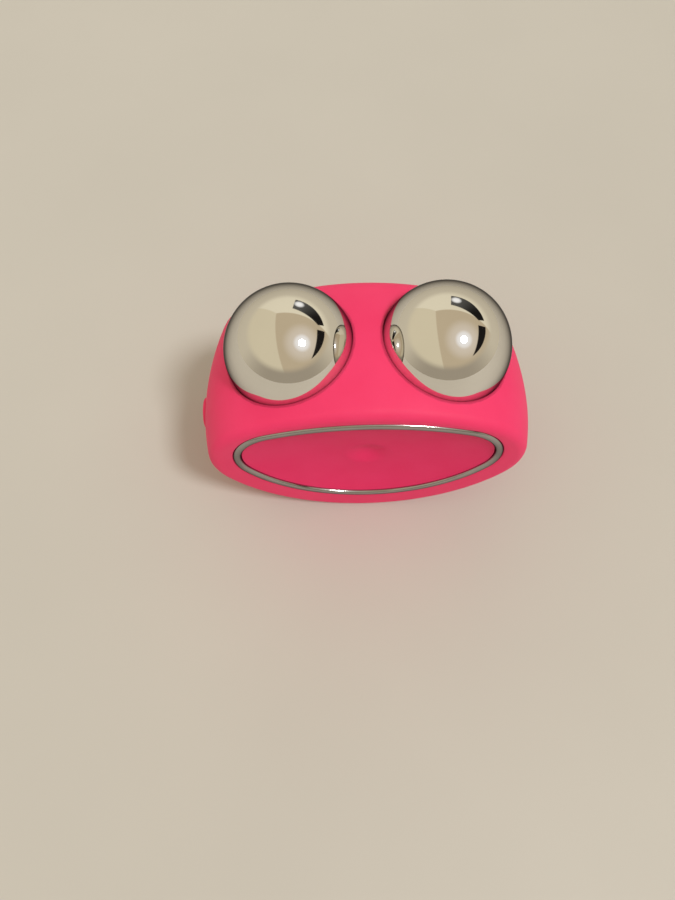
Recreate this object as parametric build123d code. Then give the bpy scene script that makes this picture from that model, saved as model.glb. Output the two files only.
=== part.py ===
from build123d import *

import os
from dataclasses import dataclass
from math import cos, hypot, radians, sin, sqrt

# Facial toning device with two electrode balls. Millimetres and degrees.
# The origin is on the table under the middle of the body, +Z up, the dished
# front face with the button looks along -Y, and the charging socket is at -X.

# ---------------------------------------------------------------- body shape
BODY_WIDTH = 65.6  # across the flanks, at the widest section
BODY_HEIGHT = 44.7  # from the flat foot to the crown
BODY_DEPTH = 32.5  # front face to rear face
CROWN_RADIUS = 53.0  # the long curve over the top
FLANK_RADIUS = 16.2  # the round of each flank
BELLY_SAG = 1.0  # what the flat foot cuts off the round belly
WIDEST_Y = -4.5  # the widest section lies in front of the middle
FRONT_DRAW = 1.5  # the front face's outline is this much smaller all round
REAR_DRAW = 3.5  # the same at the rear face
FRONT_EDGE_RADIUS = 2.2
REAR_EDGE_RADIUS = 4.0
SKIN_WALL = 1.6
CASING_WALL = 1.8

# ------------------------------------------------------------ balls and seats
BALL_DIAMETER = 25.0
BALL_SPACING = 29.3  # centre to centre
BALL_SINK = 4.1  # ball centres below the crown
BALL_TILT = 17.0  # each ball's axis leans outwards
BALL_WALL = 1.0
BALL_BASE_CUT = 0.5  # depth of the flat at the foot of each ball
SKIN_BALL_GAP = 0.05  # the lip of the skin hugs the ball
CASING_BALL_GAP = 0.25
SEAL_GAP = 0.03
SEAL_DROP = 5.6  # top of the seal below the ball's centre, along its axis
SEAL_HEIGHT = 1.8
LEDGE_THICKNESS = 1.4  # the casing's ledge under the seal
LEDGE_WIDTH = 2.2
COLLAR_WALL = 1.5
INSERT_FLANGE = 0.8
INSERT_FLANGE_RADIUS = 3.4
INSERT_BARREL_RADIUS = 2.6
INSERT_LENGTH = 5.0
INSERT_FLOOR = 1.0
BALL_SCREW_RADIUS = 1.5
BALL_SCREW_ENGAGEMENT = 4.2
BALL_SCREW_HEAD_RADIUS = 2.6
BALL_SCREW_HEAD_HEIGHT = 1.6
THREAD_GAP = 0.03
SCREW_HOLE_GAP = 0.1
DRIVE_SLOT_WIDTH = 0.7
DRIVE_SLOT_SPAN = 0.7  # share of the head's width
TAG_THICKNESS = 0.4
TAG_RADIUS = 3.0
TAG_TAIL_WIDTH = 1.6
TAG_TAIL_LENGTH = 1.6
BRIDGE_SEAT_RADIUS = 5.5
BRIDGE_SEAT_THICKNESS = 2.4
BRIDGE_WEB_WIDTH = 8.0
BRIDGE_TAB_THICKNESS = 2.0
BRIDGE_LEG_WIDTH = 4.0
BRIDGE_BALL_GAP = 0.3

# ------------------------------------------------- front ring, dish and button
RING_SIDE_MARGIN = 7.1  # from the widest outline in to the ring's middle line
RING_TOP_MARGIN = 5.1
RING_BOTTOM_MARGIN = 9.1
RING_CROWN_RADIUS = 56.0
RING_FLANK_RADIUS = 10.0
RING_WIDTH = 1.6
RING_PROUD = 0.35
RING_EDGE_RADIUS = 0.7
RING_FIT = 0.05
REAR_RING_INSET = 3.4  # the rear ring is smaller all round
PAD_RIM_DROP = 0.35  # the pad's rim lies below the face
PAD_FIT = 0.05
DISH_DEPTH = 2.2
DISH_SHARES = (1.0, 0.86, 0.66, 0.4, 0.12)  # outlines that shape the bowl
DISH_WALL = 1.15
PAD_SHELF_WALL = 1.1  # casing left under the pad's thin rim
PAD_SHELF_WIDTH = 4.8
FACE_PLATE_WALL = 1.5
FACE_PLATE_LAP = 1.0
BUTTON_DIAMETER = 10.0
BUTTON_DROP = 0.4  # below the middle of the dish's height
BUTTON_GAP = 0.12
BUTTON_TRAVEL = 0.5
BUTTON_DIMPLE_DEPTH = 0.6
BUTTON_DIMPLE_WIDTH = 9.2
BUTTON_WELL_GAP = 0.5
PLUNGER_FLANGE_GAP = 0.3
PLUNGER_FLANGE = 0.8
PLUNGER_STEM_RADIUS = 1.5

# ---------------------------------------------------------------- electronics
BOARD_SETBACK = 2.4  # from the face plate to the board's front
BOARD_THICKNESS = 1.0
BOARD_WIDTH = 32.0
BOARD_HEIGHT = 18.0
BOARD_ABOVE_BUTTON = 6.6
BOARD_CORNER = 2.0
SWITCH_SIZE = 5.2
SWITCH_HEIGHT = 1.5
SWITCH_STEM_RADIUS = 1.0
SWITCH_STEM_DEPTH = 0.4
SWITCH_STEM_GAP = 0.1
SWITCH_STEM_PROUD = 0.55
POST_RADIUS = 1.8
POST_MARGIN = 5.0  # screwed posts in from the board's sides
POST_RISE = 3.5  # screwed posts above the board's lower edge
REST_MARGIN = 4.0  # plain posts in from the board's sides
REST_DROP = 3.0  # plain posts below the board's upper edge
BOARD_SCREW_RADIUS = 0.8
BOARD_SCREW_HEAD_RADIUS = 1.5
BOARD_SCREW_HEAD_HEIGHT = 0.8
BOARD_SCREW_GRIP = 2.2
LAMP_DROP = 7.9  # lamps below the button
LAMP_SPACING = 4.5
LAMP_SIZE = 1.6
LAMP_HEIGHT = 0.8
GUIDE_WIDTH = 13.0
GUIDE_HEIGHT = 2.0
GUIDE_FLANGE = 0.8
GUIDE_FLANGE_LAP = 0.9
GUIDE_FIT = 0.1
CHIP_SIZE = 7.0
CHIP_HEIGHT = 0.9
CHIP_RISE = 9.5
INDUCTOR_SIZE = 4.0
INDUCTOR_HEIGHT = 1.8
CAPACITOR_LENGTH = 3.2
CAPACITOR_SIZE = 1.6
PARTS_MARGIN = 4.2  # inductor and capacitor, in from the board's sides
PARTS_RISE = 9.3  # and above the board's lower edge

# ------------------------------------------------------------- battery, motor
CELL_MARGIN = 3.5  # cell's sides in from the board's sides
CELL_HEIGHT = 16.0
CELL_EDGE_RADIUS = 1.2
CELL_BOARD_GAP = 1.8
CELL_FLOOR_GAP = 1.2
CELL_RIB_SPREAD = 14.0
RIB_THICKNESS = 2.0
FOAM_THICKNESS = 1.0
FOAM_MARGIN = 3.0
MOTOR_RADIUS = 4.0
MOTOR_LENGTH = 17.0
MOTOR_HEIGHT = 14.0
MOTOR_WELL_DEPTH = 4.0
MOTOR_WELL_GAP = 0.25
BOOT_WALL = 1.4
BOOT_REAR_WALL = 0.5  # rubber left between the motor and the rear plate
BOOT_MARGIN = 0.6
BUSH_RADIUS = 2.0
BUSH_LENGTH = 1.2
SHAFT_RADIUS = 0.75
SHAFT_RUNNING_GAP = 0.03
SHAFT_OVERHANG = 7.0
WEIGHT_RADIUS = 3.4
WEIGHT_HUB_RADIUS = 1.5
WEIGHT_LENGTH = 4.6
WEIGHT_GAP = 1.0

# ---------------------------------------------------------------- casing parts
BOSS_RADIUS = 2.6
UPPER_BOSS_GAP = 0.3  # between the board's edge and the upper boss
LOWER_BOSS_SPREAD = 41.0
LOWER_BOSS_DROP = 7.0  # below the flanks' widest level
CASING_SCREW_RADIUS = 0.95
CASING_SCREW_HEAD_RADIUS = 1.7
CASING_SCREW_HEAD_HEIGHT = 1.2
CASING_SCREW_ENGAGEMENT = 5.0
CASING_SCREW_GRIP = 3.0  # of the rear bosses, under the head
PILOT_FLOOR = 1.0

# -------------------------------------------------------------- charging socket
PLUG_RADIUS = 1.25  # the charger's round plug
PLUG_GAP = 0.05
SOCKET_DEPTH = 11.0
SOCKET_BODY = 4.8
SOCKET_TAIL = 2.0
SOCKET_NOSE_RADIUS = 2.2
SOCKET_NOSE_INTO_SKIN = 0.7
SOCKET_WALL_GAP = 0.2
GROMMET_WALL = 1.1
GROMMET_PROUD = 0.4
GROMMET_MOUTH_GAP = 0.3
GROMMET_EDGE = 0.35
SHELF_THICKNESS = 1.5

# -------------------------------------------------------------------- wiring
LEAD_RADIUS = 0.4
LEAD_PITCH = 1.9
LEAD_ROUTE_GAP = 1.4  # how far a lead passes from what it goes round
LEAD_BRIDGE_GAP = 0.1
LEAD_BEND_SHARE = 0.45  # of the shorter run beside a bend


@dataclass(frozen=True)
class Egg:
    """Closed outline of four tangent arcs in the XZ plane: crown, flanks, belly."""

    half_width: float
    top: float
    bottom: float
    crown_radius: float
    flank_radius: float

    @property
    def flank(self):
        """Centre of the right flank's arc, as x and z."""
        x = self.half_width - self.flank_radius
        reach = sqrt((self.crown_radius - self.flank_radius) ** 2 - x**2)
        return x, self.top - self.crown_radius + reach

    @property
    def belly_radius(self):
        """Radius of the arc that joins both flanks through the lowest point."""
        x, z = self.flank
        drop = z - self.bottom
        return (x**2 + drop**2 - self.flank_radius**2) / (2 * (drop - self.flank_radius))

    def inset(self, distance):
        """The outline moved inwards by a distance."""
        return Egg(
            self.half_width - distance,
            self.top - distance,
            self.bottom + distance,
            self.crown_radius - distance,
            self.flank_radius - distance,
        )

    def scaled(self, factor):
        """The outline scaled about the middle of its height."""
        level = (self.top + self.bottom) / 2
        return Egg(
            self.half_width * factor,
            level + (self.top - level) * factor,
            level + (self.bottom - level) * factor,
            self.crown_radius * factor,
            self.flank_radius * factor,
        )

    def tangent_point(self, arc_centre_z):
        """Where the right flank meets the arc whose centre is at (0, z)."""
        x, z = self.flank
        length = hypot(x, z - arc_centre_z)
        step = self.flank_radius / length
        return x + x * step, z + (z - arc_centre_z) * step

    def wire(self, y):
        """The outline as a wire in the plane at y."""
        x_up, z_up = self.tangent_point(self.top - self.crown_radius)
        x_low, z_low = self.tangent_point(self.bottom + self.belly_radius)
        level = self.flank[1]
        arcs = [
            ((-x_up, z_up), (0, self.top), (x_up, z_up)),
            ((x_up, z_up), (self.half_width, level), (x_low, z_low)),
            ((x_low, z_low), (0, self.bottom), (-x_low, z_low)),
            ((-x_low, z_low), (-self.half_width, level), (-x_up, z_up)),
        ]
        points = [[Vector(x, y, z) for x, z in arc] for arc in arcs]
        return Wire([Edge.make_three_point_arc(*trio) for trio in points])

    def prism(self, y_start, y_end):
        """The outline as a straight block between two planes."""
        face = Face(self.wire(min(y_start, y_end)))
        return Solid.extrude(face, Vector(0, abs(y_end - y_start), 0))


# ------------------------------------------------------------- derived places
HALF_DEPTH = BODY_DEPTH / 2
BODY = Egg(BODY_WIDTH / 2, BODY_HEIGHT, -BELLY_SAG, CROWN_RADIUS, FLANK_RADIUS)
FRONT_RING = Egg(
    BODY_WIDTH / 2 - RING_SIDE_MARGIN,
    BODY_HEIGHT - RING_TOP_MARGIN,
    RING_BOTTOM_MARGIN - BELLY_SAG,
    RING_CROWN_RADIUS,
    RING_FLANK_RADIUS,
)
REAR_RING = FRONT_RING.inset(REAR_RING_INSET)

BALL_RADIUS = BALL_DIAMETER / 2
BALL_Z = BODY_HEIGHT - BALL_SINK
BALL_X = BALL_SPACING / 2
TILT = radians(BALL_TILT)
BALL_FRAME = Plane(
    origin=(BALL_X, 0, BALL_Z),
    x_dir=(cos(TILT), 0, -sin(TILT)),
    z_dir=(sin(TILT), 0, cos(TILT)),
)
# levels along a ball's own axis, measured from its centre
BASE_T = BALL_BASE_CUT - BALL_RADIUS
SEAT_T = BASE_T - INSERT_FLANGE
TAG_T = SEAT_T - BRIDGE_SEAT_THICKNESS
HEAD_T = TAG_T - TAG_THICKNESS
SEAL_T = -SEAL_DROP
LEDGE_T = SEAL_T - SEAL_HEIGHT
COLLAR_T = LEDGE_T - LEDGE_THICKNESS
SEAL_RADIUS = BALL_RADIUS + CASING_BALL_GAP - SEAL_GAP
BORE_RADIUS = BALL_RADIUS + CASING_BALL_GAP

# depths below a face, from the outside in
SEAT_DEPTH = SKIN_WALL
SHELF_DEPTH = SKIN_WALL + CASING_WALL - PAD_SHELF_WALL
FLOOR_DEPTH = PAD_RIM_DROP + DISH_DEPTH + DISH_WALL
PLATE_DEPTH = FLOOR_DEPTH + FACE_PLATE_WALL
INNER_DEPTH = SKIN_WALL + CASING_WALL

BUTTON_Z = (FRONT_RING.top + FRONT_RING.bottom) / 2 - BUTTON_DROP
BUTTON_RADIUS = BUTTON_DIAMETER / 2
FLANK_Z = BODY.flank[1]
PLATE_Y = PLATE_DEPTH - HALF_DEPTH
BOARD_FRONT = PLATE_Y + BOARD_SETBACK
BOARD_BACK = BOARD_FRONT + BOARD_THICKNESS
BOARD_TOP = BUTTON_Z + BOARD_ABOVE_BUTTON
BOARD_BOTTOM = BOARD_TOP - BOARD_HEIGHT
UPPER_BOSS = (0, BOARD_TOP + UPPER_BOSS_GAP + BOSS_RADIUS)
LOWER_BOSS_X = LOWER_BOSS_SPREAD / 2
LOWER_BOSS_Z = FLANK_Z - LOWER_BOSS_DROP
BOSS_PLACES = [UPPER_BOSS, (LOWER_BOSS_X, LOWER_BOSS_Z), (-LOWER_BOSS_X, LOWER_BOSS_Z)]
TAB_Y = -BRIDGE_TAB_THICKNESS
POST_SIDE = BOARD_WIDTH / 2 - POST_MARGIN
REST_SIDE = BOARD_WIDTH / 2 - REST_MARGIN
PARTS_SIDE = BOARD_WIDTH / 2 - PARTS_MARGIN
CELL_SIDE = BOARD_WIDTH / 2 - CELL_MARGIN
POST_PLACES = [(side * POST_SIDE, BOARD_BOTTOM + POST_RISE) for side in (-1, 1)]
REST_PLACES = [(side * REST_SIDE, BOARD_TOP - REST_DROP) for side in (-1, 1)]
LAMP_Z = BUTTON_Z - LAMP_DROP
PARTS_Z = BOARD_BOTTOM + PARTS_RISE

# the motor keeps to the rear plate, and the cell fills the depth that is left
REAR_PLATE_Y = HALF_DEPTH - PLATE_DEPTH
MOTOR_Y = REAR_PLATE_Y - BOOT_REAR_WALL - MOTOR_RADIUS
CELL_FRONT = BOARD_BACK + CELL_BOARD_GAP
CELL_BACK = MOTOR_Y - MOTOR_RADIUS - BOOT_WALL - FOAM_THICKNESS
MOTOR_START = -(MOTOR_LENGTH + BUSH_LENGTH) / 2
MOTOR_END = MOTOR_START + MOTOR_LENGTH
BOOT_HALF = MOTOR_RADIUS + BOOT_WALL

SOCKET_RADIUS = PLUG_RADIUS + PLUG_GAP
WALL_OUTSIDE = BODY_WIDTH / 2 - SKIN_WALL
WALL_INSIDE = WALL_OUTSIDE - CASING_WALL
SOCKET_MOUTH = WALL_OUTSIDE + SOCKET_NOSE_INTO_SKIN
SOCKET_SHOULDER = WALL_INSIDE - SOCKET_WALL_GAP
SOCKET_END = SOCKET_MOUTH - SOCKET_DEPTH - SOCKET_TAIL
GROMMET_RADIUS = SOCKET_NOSE_RADIUS + GROMMET_WALL


def draw(y):
    """How far the outline has shrunk at a depth y, growing with the square."""
    if y < WIDEST_Y:
        return FRONT_DRAW * ((y - WIDEST_Y) / (HALF_DEPTH + WIDEST_Y)) ** 2
    return REAR_DRAW * ((y - WIDEST_Y) / (HALF_DEPTH - WIDEST_Y)) ** 2


def block(x, y, z):
    """Box between two corners, given as (low, high) pairs."""
    size = [high - low for low, high in (x, y, z)]
    middle = [(low + high) / 2 for low, high in (x, y, z)]
    return Pos(*middle) * Box(*size)


def rod(radius, start, end, place=(0, 0)):
    """Cylinder along Y between two depths, at an x and z place."""
    middle = Pos(place[0], (start + end) / 2, place[1])
    return middle * Rot(90, 0, 0) * Cylinder(radius, abs(end - start))


def bar(radius, start, end, place):
    """Cylinder along X between two places, at a y and z place."""
    middle = Pos((start + end) / 2, place[0], place[1])
    return middle * Rot(0, 90, 0) * Cylinder(radius, abs(end - start))


def puck(radius, low, high):
    """Cylinder along a ball's own axis between two levels."""
    return BALL_FRAME.location * Pos(0, 0, (low + high) / 2) * Cylinder(radius, high - low)


def ball(radius):
    """Full sphere at the right ball's centre."""
    return BALL_FRAME.location * Sphere(radius)


def twin(shape):
    """The same shape on the other side of the middle plane."""
    return mirror(shape, about=Plane.YZ)


def group(shapes):
    """Several separate solids as one node."""
    return Compound(children=[solid for shape in shapes for solid in shape.solids()])


def body_form(inset):
    """The body's outer form moved inwards, with its edge rounds and flat foot."""
    front, rear = inset - HALF_DEPTH, HALF_DEPTH - inset
    depths = [front, (front + WIDEST_Y) / 2, WIDEST_Y, (rear + WIDEST_Y) / 2, rear]
    form = Part(Solid.make_loft([BODY.inset(inset + draw(y)).wire(y) for y in depths]).wrapped)
    for y, radius in ((front, FRONT_EDGE_RADIUS), (rear, REAR_EDGE_RADIUS)):
        if radius > inset:
            rim = [edge for edge in form.edges() if abs(edge.center().Y - y) < 0.01]
            form = fillet(rim, radius - inset)
    reach = BODY_WIDTH
    return form & block((-reach, reach), (-reach, reach), (inset, 2 * BODY_HEIGHT))


def depth(face, distance):
    """The y at a depth below the front (face -1) or the rear (face 1)."""
    return face * (HALF_DEPTH - distance)


def dish_cutter(egg, face):
    """What the bowl of a pad removes: outlines that shrink as it deepens."""
    rim = egg.inset(RING_WIDTH / 2)
    bottoms = [PAD_RIM_DROP + DISH_DEPTH * (1 - share**2) for share in DISH_SHARES]
    wires = [rim.scaled(s).wire(depth(face, d)) for s, d in zip(DISH_SHARES, bottoms)]
    lid = rim.prism(depth(face, PAD_RIM_DROP), depth(face, -RING_PROUD))
    return Part(Solid.make_loft(wires).wrapped) + lid


def pocket(egg, face, clearance):
    """The stepped seat for a pad: a shelf round the rim and a deeper middle."""
    rim = egg.inset(RING_WIDTH / 2 + clearance)
    outside = depth(face, PAD_RIM_DROP)
    step = rim.prism(outside, depth(face, SHELF_DEPTH))
    middle = rim.inset(PAD_SHELF_WIDTH).prism(outside, depth(face, FLOOR_DEPTH))
    return step + middle


def button_dimple():
    """Shallow spherical hollow in the middle of the front bowl."""
    half = BUTTON_DIMPLE_WIDTH / 2
    radius = (half**2 + BUTTON_DIMPLE_DEPTH**2) / (2 * BUTTON_DIMPLE_DEPTH)
    bottom = depth(-1, PAD_RIM_DROP + DISH_DEPTH) + BUTTON_DIMPLE_DEPTH
    return Pos(0, bottom - radius, BUTTON_Z) * Sphere(radius)


def make_front_pad():
    """Front silicone pad, holed for the button's cap."""
    hole = rod(BUTTON_RADIUS + BUTTON_GAP, depth(-1, 0), depth(-1, FLOOR_DEPTH), (0, BUTTON_Z))
    pad = pocket(FRONT_RING, -1, PAD_FIT) - dish_cutter(FRONT_RING, -1)
    return pad - button_dimple() - hole


def make_rear_pad():
    """Rear silicone pad, plain."""
    return pocket(REAR_RING, 1, PAD_FIT) - dish_cutter(REAR_RING, 1)


def make_ring(egg, face):
    """Bright trim ring, rounded on its outer edges."""
    proud, seat = depth(face, -RING_PROUD), depth(face, SEAT_DEPTH)
    outer = egg.inset(-RING_WIDTH / 2).prism(proud, seat)
    ring = Part((outer - egg.inset(RING_WIDTH / 2).prism(proud, seat)).wrapped)
    rim = [edge for edge in ring.edges() if abs(edge.center().Y - proud) < 0.01]
    return fillet(rim, RING_EDGE_RADIUS)


# ---------------------------------------------------------------------- skin
def make_skin(outer, inner):
    """One-piece silicone sleeve, open at the balls, both dishes and the socket."""
    skin = outer - inner
    mouth = ball(BALL_RADIUS + SKIN_BALL_GAP) + puck(BALL_RADIUS + SKIN_BALL_GAP, 0, BALL_RADIUS)
    skin = skin - mouth - twin(mouth)
    for egg, face in ((FRONT_RING, -1), (REAR_RING, 1)):
        window = egg.inset(-RING_WIDTH / 2 - RING_FIT)
        skin = skin - window.prism(depth(face, -RING_PROUD), depth(face, SKIN_WALL))
    return skin - bar(GROMMET_RADIUS, -BODY_WIDTH, -WALL_INSIDE, (WIDEST_Y, FLANK_Z))


# -------------------------------------------------------------------- casing
def make_casings(outer, inner):
    """Front and rear rigid shells, with collars, seats, bosses and ribs."""
    collar = puck(BORE_RADIUS + COLLAR_WALL, COLLAR_T, BALL_RADIUS)
    shell = (outer - inner) + ((collar + twin(collar)) & outer)
    for egg, face in ((FRONT_RING, -1), (REAR_RING, 1)):
        plate = egg.inset(RING_WIDTH / 2 + PAD_SHELF_WIDTH - FACE_PLATE_LAP)
        shell = shell + plate.prism(depth(face, PLATE_DEPTH), depth(face, SHELF_DEPTH))
    bore = puck(BORE_RADIUS, LEDGE_T, BALL_RADIUS)
    bore = bore + puck(BORE_RADIUS - LEDGE_WIDTH, COLLAR_T - BALL_RADIUS, LEDGE_T)
    shell = shell - bore - twin(bore)
    for egg, face in ((FRONT_RING, -1), (REAR_RING, 1)):
        shell = shell - pocket(egg, face, 0)
    reach = BODY_WIDTH
    front = shell & block((-reach, reach), (-reach, 0), (0, 2 * BODY_HEIGHT))
    rear = shell & block((-reach, reach), (0, reach), (0, 2 * BODY_HEIGHT))
    return dress_front(front, outer), dress_rear(rear, outer)


def rib(x, y_low, y_high, top):
    """Upright rib from below the floor to a top level, trimmed by the caller."""
    return block((x - RIB_THICKNESS / 2, x + RIB_THICKNESS / 2), (y_low, y_high), (0, top))


def dress_front(front, outer):
    """Bosses, board posts, battery ribs, socket shelf and holes of the front."""
    solid = BOSS_PLACES + POST_PLACES + REST_PLACES
    ends = [TAB_Y] * len(BOSS_PLACES) + [BOARD_FRONT] * (len(POST_PLACES) + len(REST_PLACES))
    radii = [BOSS_RADIUS] * len(BOSS_PLACES) + [POST_RADIUS] * (len(ends) - len(BOSS_PLACES))
    start = depth(-1, SHELF_DEPTH)
    added = [rod(r, start, end, place) for r, end, place in zip(radii, ends, solid)]
    for side in (-1, 1):
        added.append(rib(side * CELL_RIB_SPREAD / 2, CELL_FRONT, 0, cell_bottom()))
    added.append(
        block(
            (-WALL_OUTSIDE, -SOCKET_END - SOCKET_TAIL),
            (start, WIDEST_Y + SOCKET_BODY / 2),
            (FLANK_Z - SOCKET_BODY / 2 - SHELF_THICKNESS, FLANK_Z - SOCKET_BODY / 2),
        )
    )
    for shape in added:
        front = front + (shape & outer)
    front = front - pocket(FRONT_RING, -1, 0)
    pilot = TAB_Y - CASING_SCREW_ENGAGEMENT - PILOT_FLOOR
    for place in BOSS_PLACES:
        front = front - rod(CASING_SCREW_RADIUS + THREAD_GAP, pilot, TAB_Y, place)
    for place in POST_PLACES:
        bottom = BOARD_FRONT - BOARD_SCREW_GRIP
        front = front - rod(BOARD_SCREW_RADIUS + THREAD_GAP, bottom, BOARD_FRONT, place)
    well = BUTTON_RADIUS + BUTTON_WELL_GAP
    front = front - rod(well, depth(-1, FLOOR_DEPTH), PLATE_Y, (0, BUTTON_Z))
    front = front - guide_block(GUIDE_FIT, depth(-1, FLOOR_DEPTH), PLATE_Y)
    hole = bar(GROMMET_RADIUS, -BODY_WIDTH, -WALL_INSIDE + CASING_WALL, (WIDEST_Y, FLANK_Z))
    return front - hole


def dress_rear(rear, outer):
    """Bosses, motor ribs and screw holes of the rear."""
    start = depth(1, SHELF_DEPTH)
    added = [rod(BOSS_RADIUS, 0, start, place) for place in BOSS_PLACES]
    low, high = CELL_BACK + FOAM_THICKNESS, start
    for x in (MOTOR_START / 2, MOTOR_END / 2):
        added.append(rib(x, low, high, MOTOR_HEIGHT - BOOT_HALF))
    for shape in added:
        rear = rear + (shape & outer)
    rear = rear - pocket(REAR_RING, 1, 0)
    for place in BOSS_PLACES:
        rear = rear - rod(CASING_SCREW_RADIUS + SCREW_HOLE_GAP, 0, HALF_DEPTH, place)
        wide = CASING_SCREW_HEAD_RADIUS + SCREW_HOLE_GAP
        rear = rear - rod(wide, CASING_SCREW_GRIP, HALF_DEPTH, place)
    return rear


def cross_slot(centre_plane, radius, deep):
    """Two crossed slots that a driver fits, cut into a head from a plane."""
    arm = Box(2 * radius * DRIVE_SLOT_SPAN, DRIVE_SLOT_WIDTH, deep * 2)
    return centre_plane.location * (arm + Rot(0, 0, 90) * arm)


def make_casing_screws():
    """Three self-tapping screws from the rear into the front's bosses."""
    screws = []
    seat = CASING_SCREW_GRIP
    top = seat + CASING_SCREW_HEAD_HEIGHT
    for place in BOSS_PLACES:
        shank = rod(CASING_SCREW_RADIUS, TAB_Y - CASING_SCREW_ENGAGEMENT, seat, place)
        screw = shank + rod(CASING_SCREW_HEAD_RADIUS, seat, top, place)
        plane = Plane(origin=(place[0], top, place[1]), z_dir=(0, 1, 0))
        slot = cross_slot(plane, CASING_SCREW_HEAD_RADIUS, CASING_SCREW_HEAD_HEIGHT / 2)
        screws.append(screw - slot)
    return group(screws)


# --------------------------------------------------------------------- balls
def make_ball():
    """Hollow electrode ball with a flat, pierced foot."""
    shell = ball(BALL_RADIUS) - ball(BALL_RADIUS - BALL_WALL)
    shell = shell - puck(BALL_RADIUS, -2 * BALL_RADIUS, BASE_T)
    return shell - puck(INSERT_BARREL_RADIUS, -BALL_RADIUS, -BALL_RADIUS / 2)


def make_insert():
    """Flanged, blind threaded insert closed into the ball's foot."""
    top = BASE_T + INSERT_LENGTH
    insert = puck(INSERT_FLANGE_RADIUS, SEAT_T, BASE_T) + puck(INSERT_BARREL_RADIUS, BASE_T, top)
    return insert - puck(BALL_SCREW_RADIUS + THREAD_GAP, SEAT_T, top - INSERT_FLOOR)


def make_ball_screw():
    """Pan-head screw up through tag and bridge into the insert."""
    shank = puck(BALL_SCREW_RADIUS, HEAD_T, SEAT_T + BALL_SCREW_ENGAGEMENT)
    low = HEAD_T - BALL_SCREW_HEAD_HEIGHT
    screw = shank + puck(BALL_SCREW_HEAD_RADIUS, low, HEAD_T)
    plane = Plane(BALL_FRAME.location * Location((0, 0, low)))
    return screw - cross_slot(plane, BALL_SCREW_HEAD_RADIUS, BALL_SCREW_HEAD_HEIGHT / 2)


def make_tag():
    """Ring tag under the screw head, with a tail towards the board."""
    tag = puck(TAG_RADIUS, HEAD_T, TAG_T)
    reach = TAG_RADIUS + TAG_TAIL_LENGTH
    tail = Box(TAG_TAIL_WIDTH, reach, TAG_THICKNESS)
    tag = tag + BALL_FRAME.location * Pos(0, -reach / 2, HEAD_T + TAG_THICKNESS / 2) * tail
    return tag - puck(BALL_SCREW_RADIUS + SCREW_HOLE_GAP, HEAD_T, TAG_T)


def make_seal():
    """Lip seal that sits on the casing's ledge and hugs the ball."""
    return puck(SEAL_RADIUS, LEDGE_T, SEAL_T) - ball(BALL_RADIUS + SEAL_GAP)


def make_electrode_lead():
    """Short wire from the tag's tail straight to the board."""
    level = TAG_T - LEAD_BRIDGE_GAP - LEAD_RADIUS
    place = (BALL_X + sin(TILT) * level, BALL_Z + cos(TILT) * level)
    return rod(LEAD_RADIUS, BOARD_BACK, -TAG_RADIUS - TAG_TAIL_LENGTH, place)


def bridge_leg(start, end):
    """Flat leg between two places, each given as x and z."""
    run, rise = end[0] - start[0], end[1] - start[1]
    length = hypot(run, rise)
    across = (rise / length * BRIDGE_LEG_WIDTH / 2, -run / length * BRIDGE_LEG_WIDTH / 2)
    corners = [
        Vector(place[0] + side * across[0], TAB_Y, place[1] + side * across[1])
        for place, side in ((start, 1), (start, -1), (end, -1), (end, 1))
    ]
    leg = Face(Wire.make_polygon(corners, close=True))
    return Part(Solid.extrude(leg, Vector(0, BRIDGE_TAB_THICKNESS, 0)).wrapped)


def make_bridge():
    """Chassis that carries both balls, clamped between the casing's bosses."""
    middle = (SEAT_T + TAG_T) / 2
    seat_x = BALL_X + sin(TILT) * middle
    seat_z = BALL_Z + cos(TILT) * middle
    half_web = BRIDGE_WEB_WIDTH / 2
    half_seat = BRIDGE_SEAT_THICKNESS / 2
    seat = puck(BRIDGE_SEAT_RADIUS, TAG_T, SEAT_T)
    web = block((-seat_x, seat_x), (-half_web, half_web), (seat_z - half_seat, seat_z + half_seat))
    reach = BRIDGE_SEAT_RADIUS - half_seat
    root = (seat_x + cos(TILT) * reach, seat_z - sin(TILT) * reach)
    leg = bridge_leg(root, (LOWER_BOSS_X, LOWER_BOSS_Z))
    bridge = web + seat + twin(seat) + leg + twin(leg) + bridge_leg((0, seat_z), UPPER_BOSS)
    for place in BOSS_PLACES:
        bridge = bridge + rod(BOSS_RADIUS, TAB_Y, 0, place)
    clear = ball(BALL_RADIUS + BRIDGE_BALL_GAP)
    clear = clear + puck(INSERT_FLANGE_RADIUS + BRIDGE_BALL_GAP, SEAT_T, BASE_T)
    clear = clear + puck(BALL_SCREW_RADIUS + SCREW_HOLE_GAP, TAG_T, BASE_T)
    spot = max(TAG_RADIUS + TAG_TAIL_LENGTH + BRIDGE_BALL_GAP, BRIDGE_SEAT_RADIUS)
    clear = clear + puck(spot, HEAD_T - BALL_SCREW_HEAD_HEIGHT - BRIDGE_BALL_GAP, TAG_T)
    bridge = bridge - clear - twin(clear)
    for place in BOSS_PLACES:
        bridge = bridge - rod(CASING_SCREW_RADIUS + SCREW_HOLE_GAP, TAB_Y, 0, place)
    return bridge


# ----------------------------------------------------------- button and board
def make_button_cap():
    """Dished, dimpled middle of the front pad."""
    cap = rod(BUTTON_RADIUS, depth(-1, 0), depth(-1, FLOOR_DEPTH), (0, BUTTON_Z))
    return cap - dish_cutter(FRONT_RING, -1) - button_dimple()


def switch_top():
    """The y of the switch stem's end."""
    return BOARD_FRONT - SWITCH_HEIGHT - SWITCH_STEM_PROUD


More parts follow.
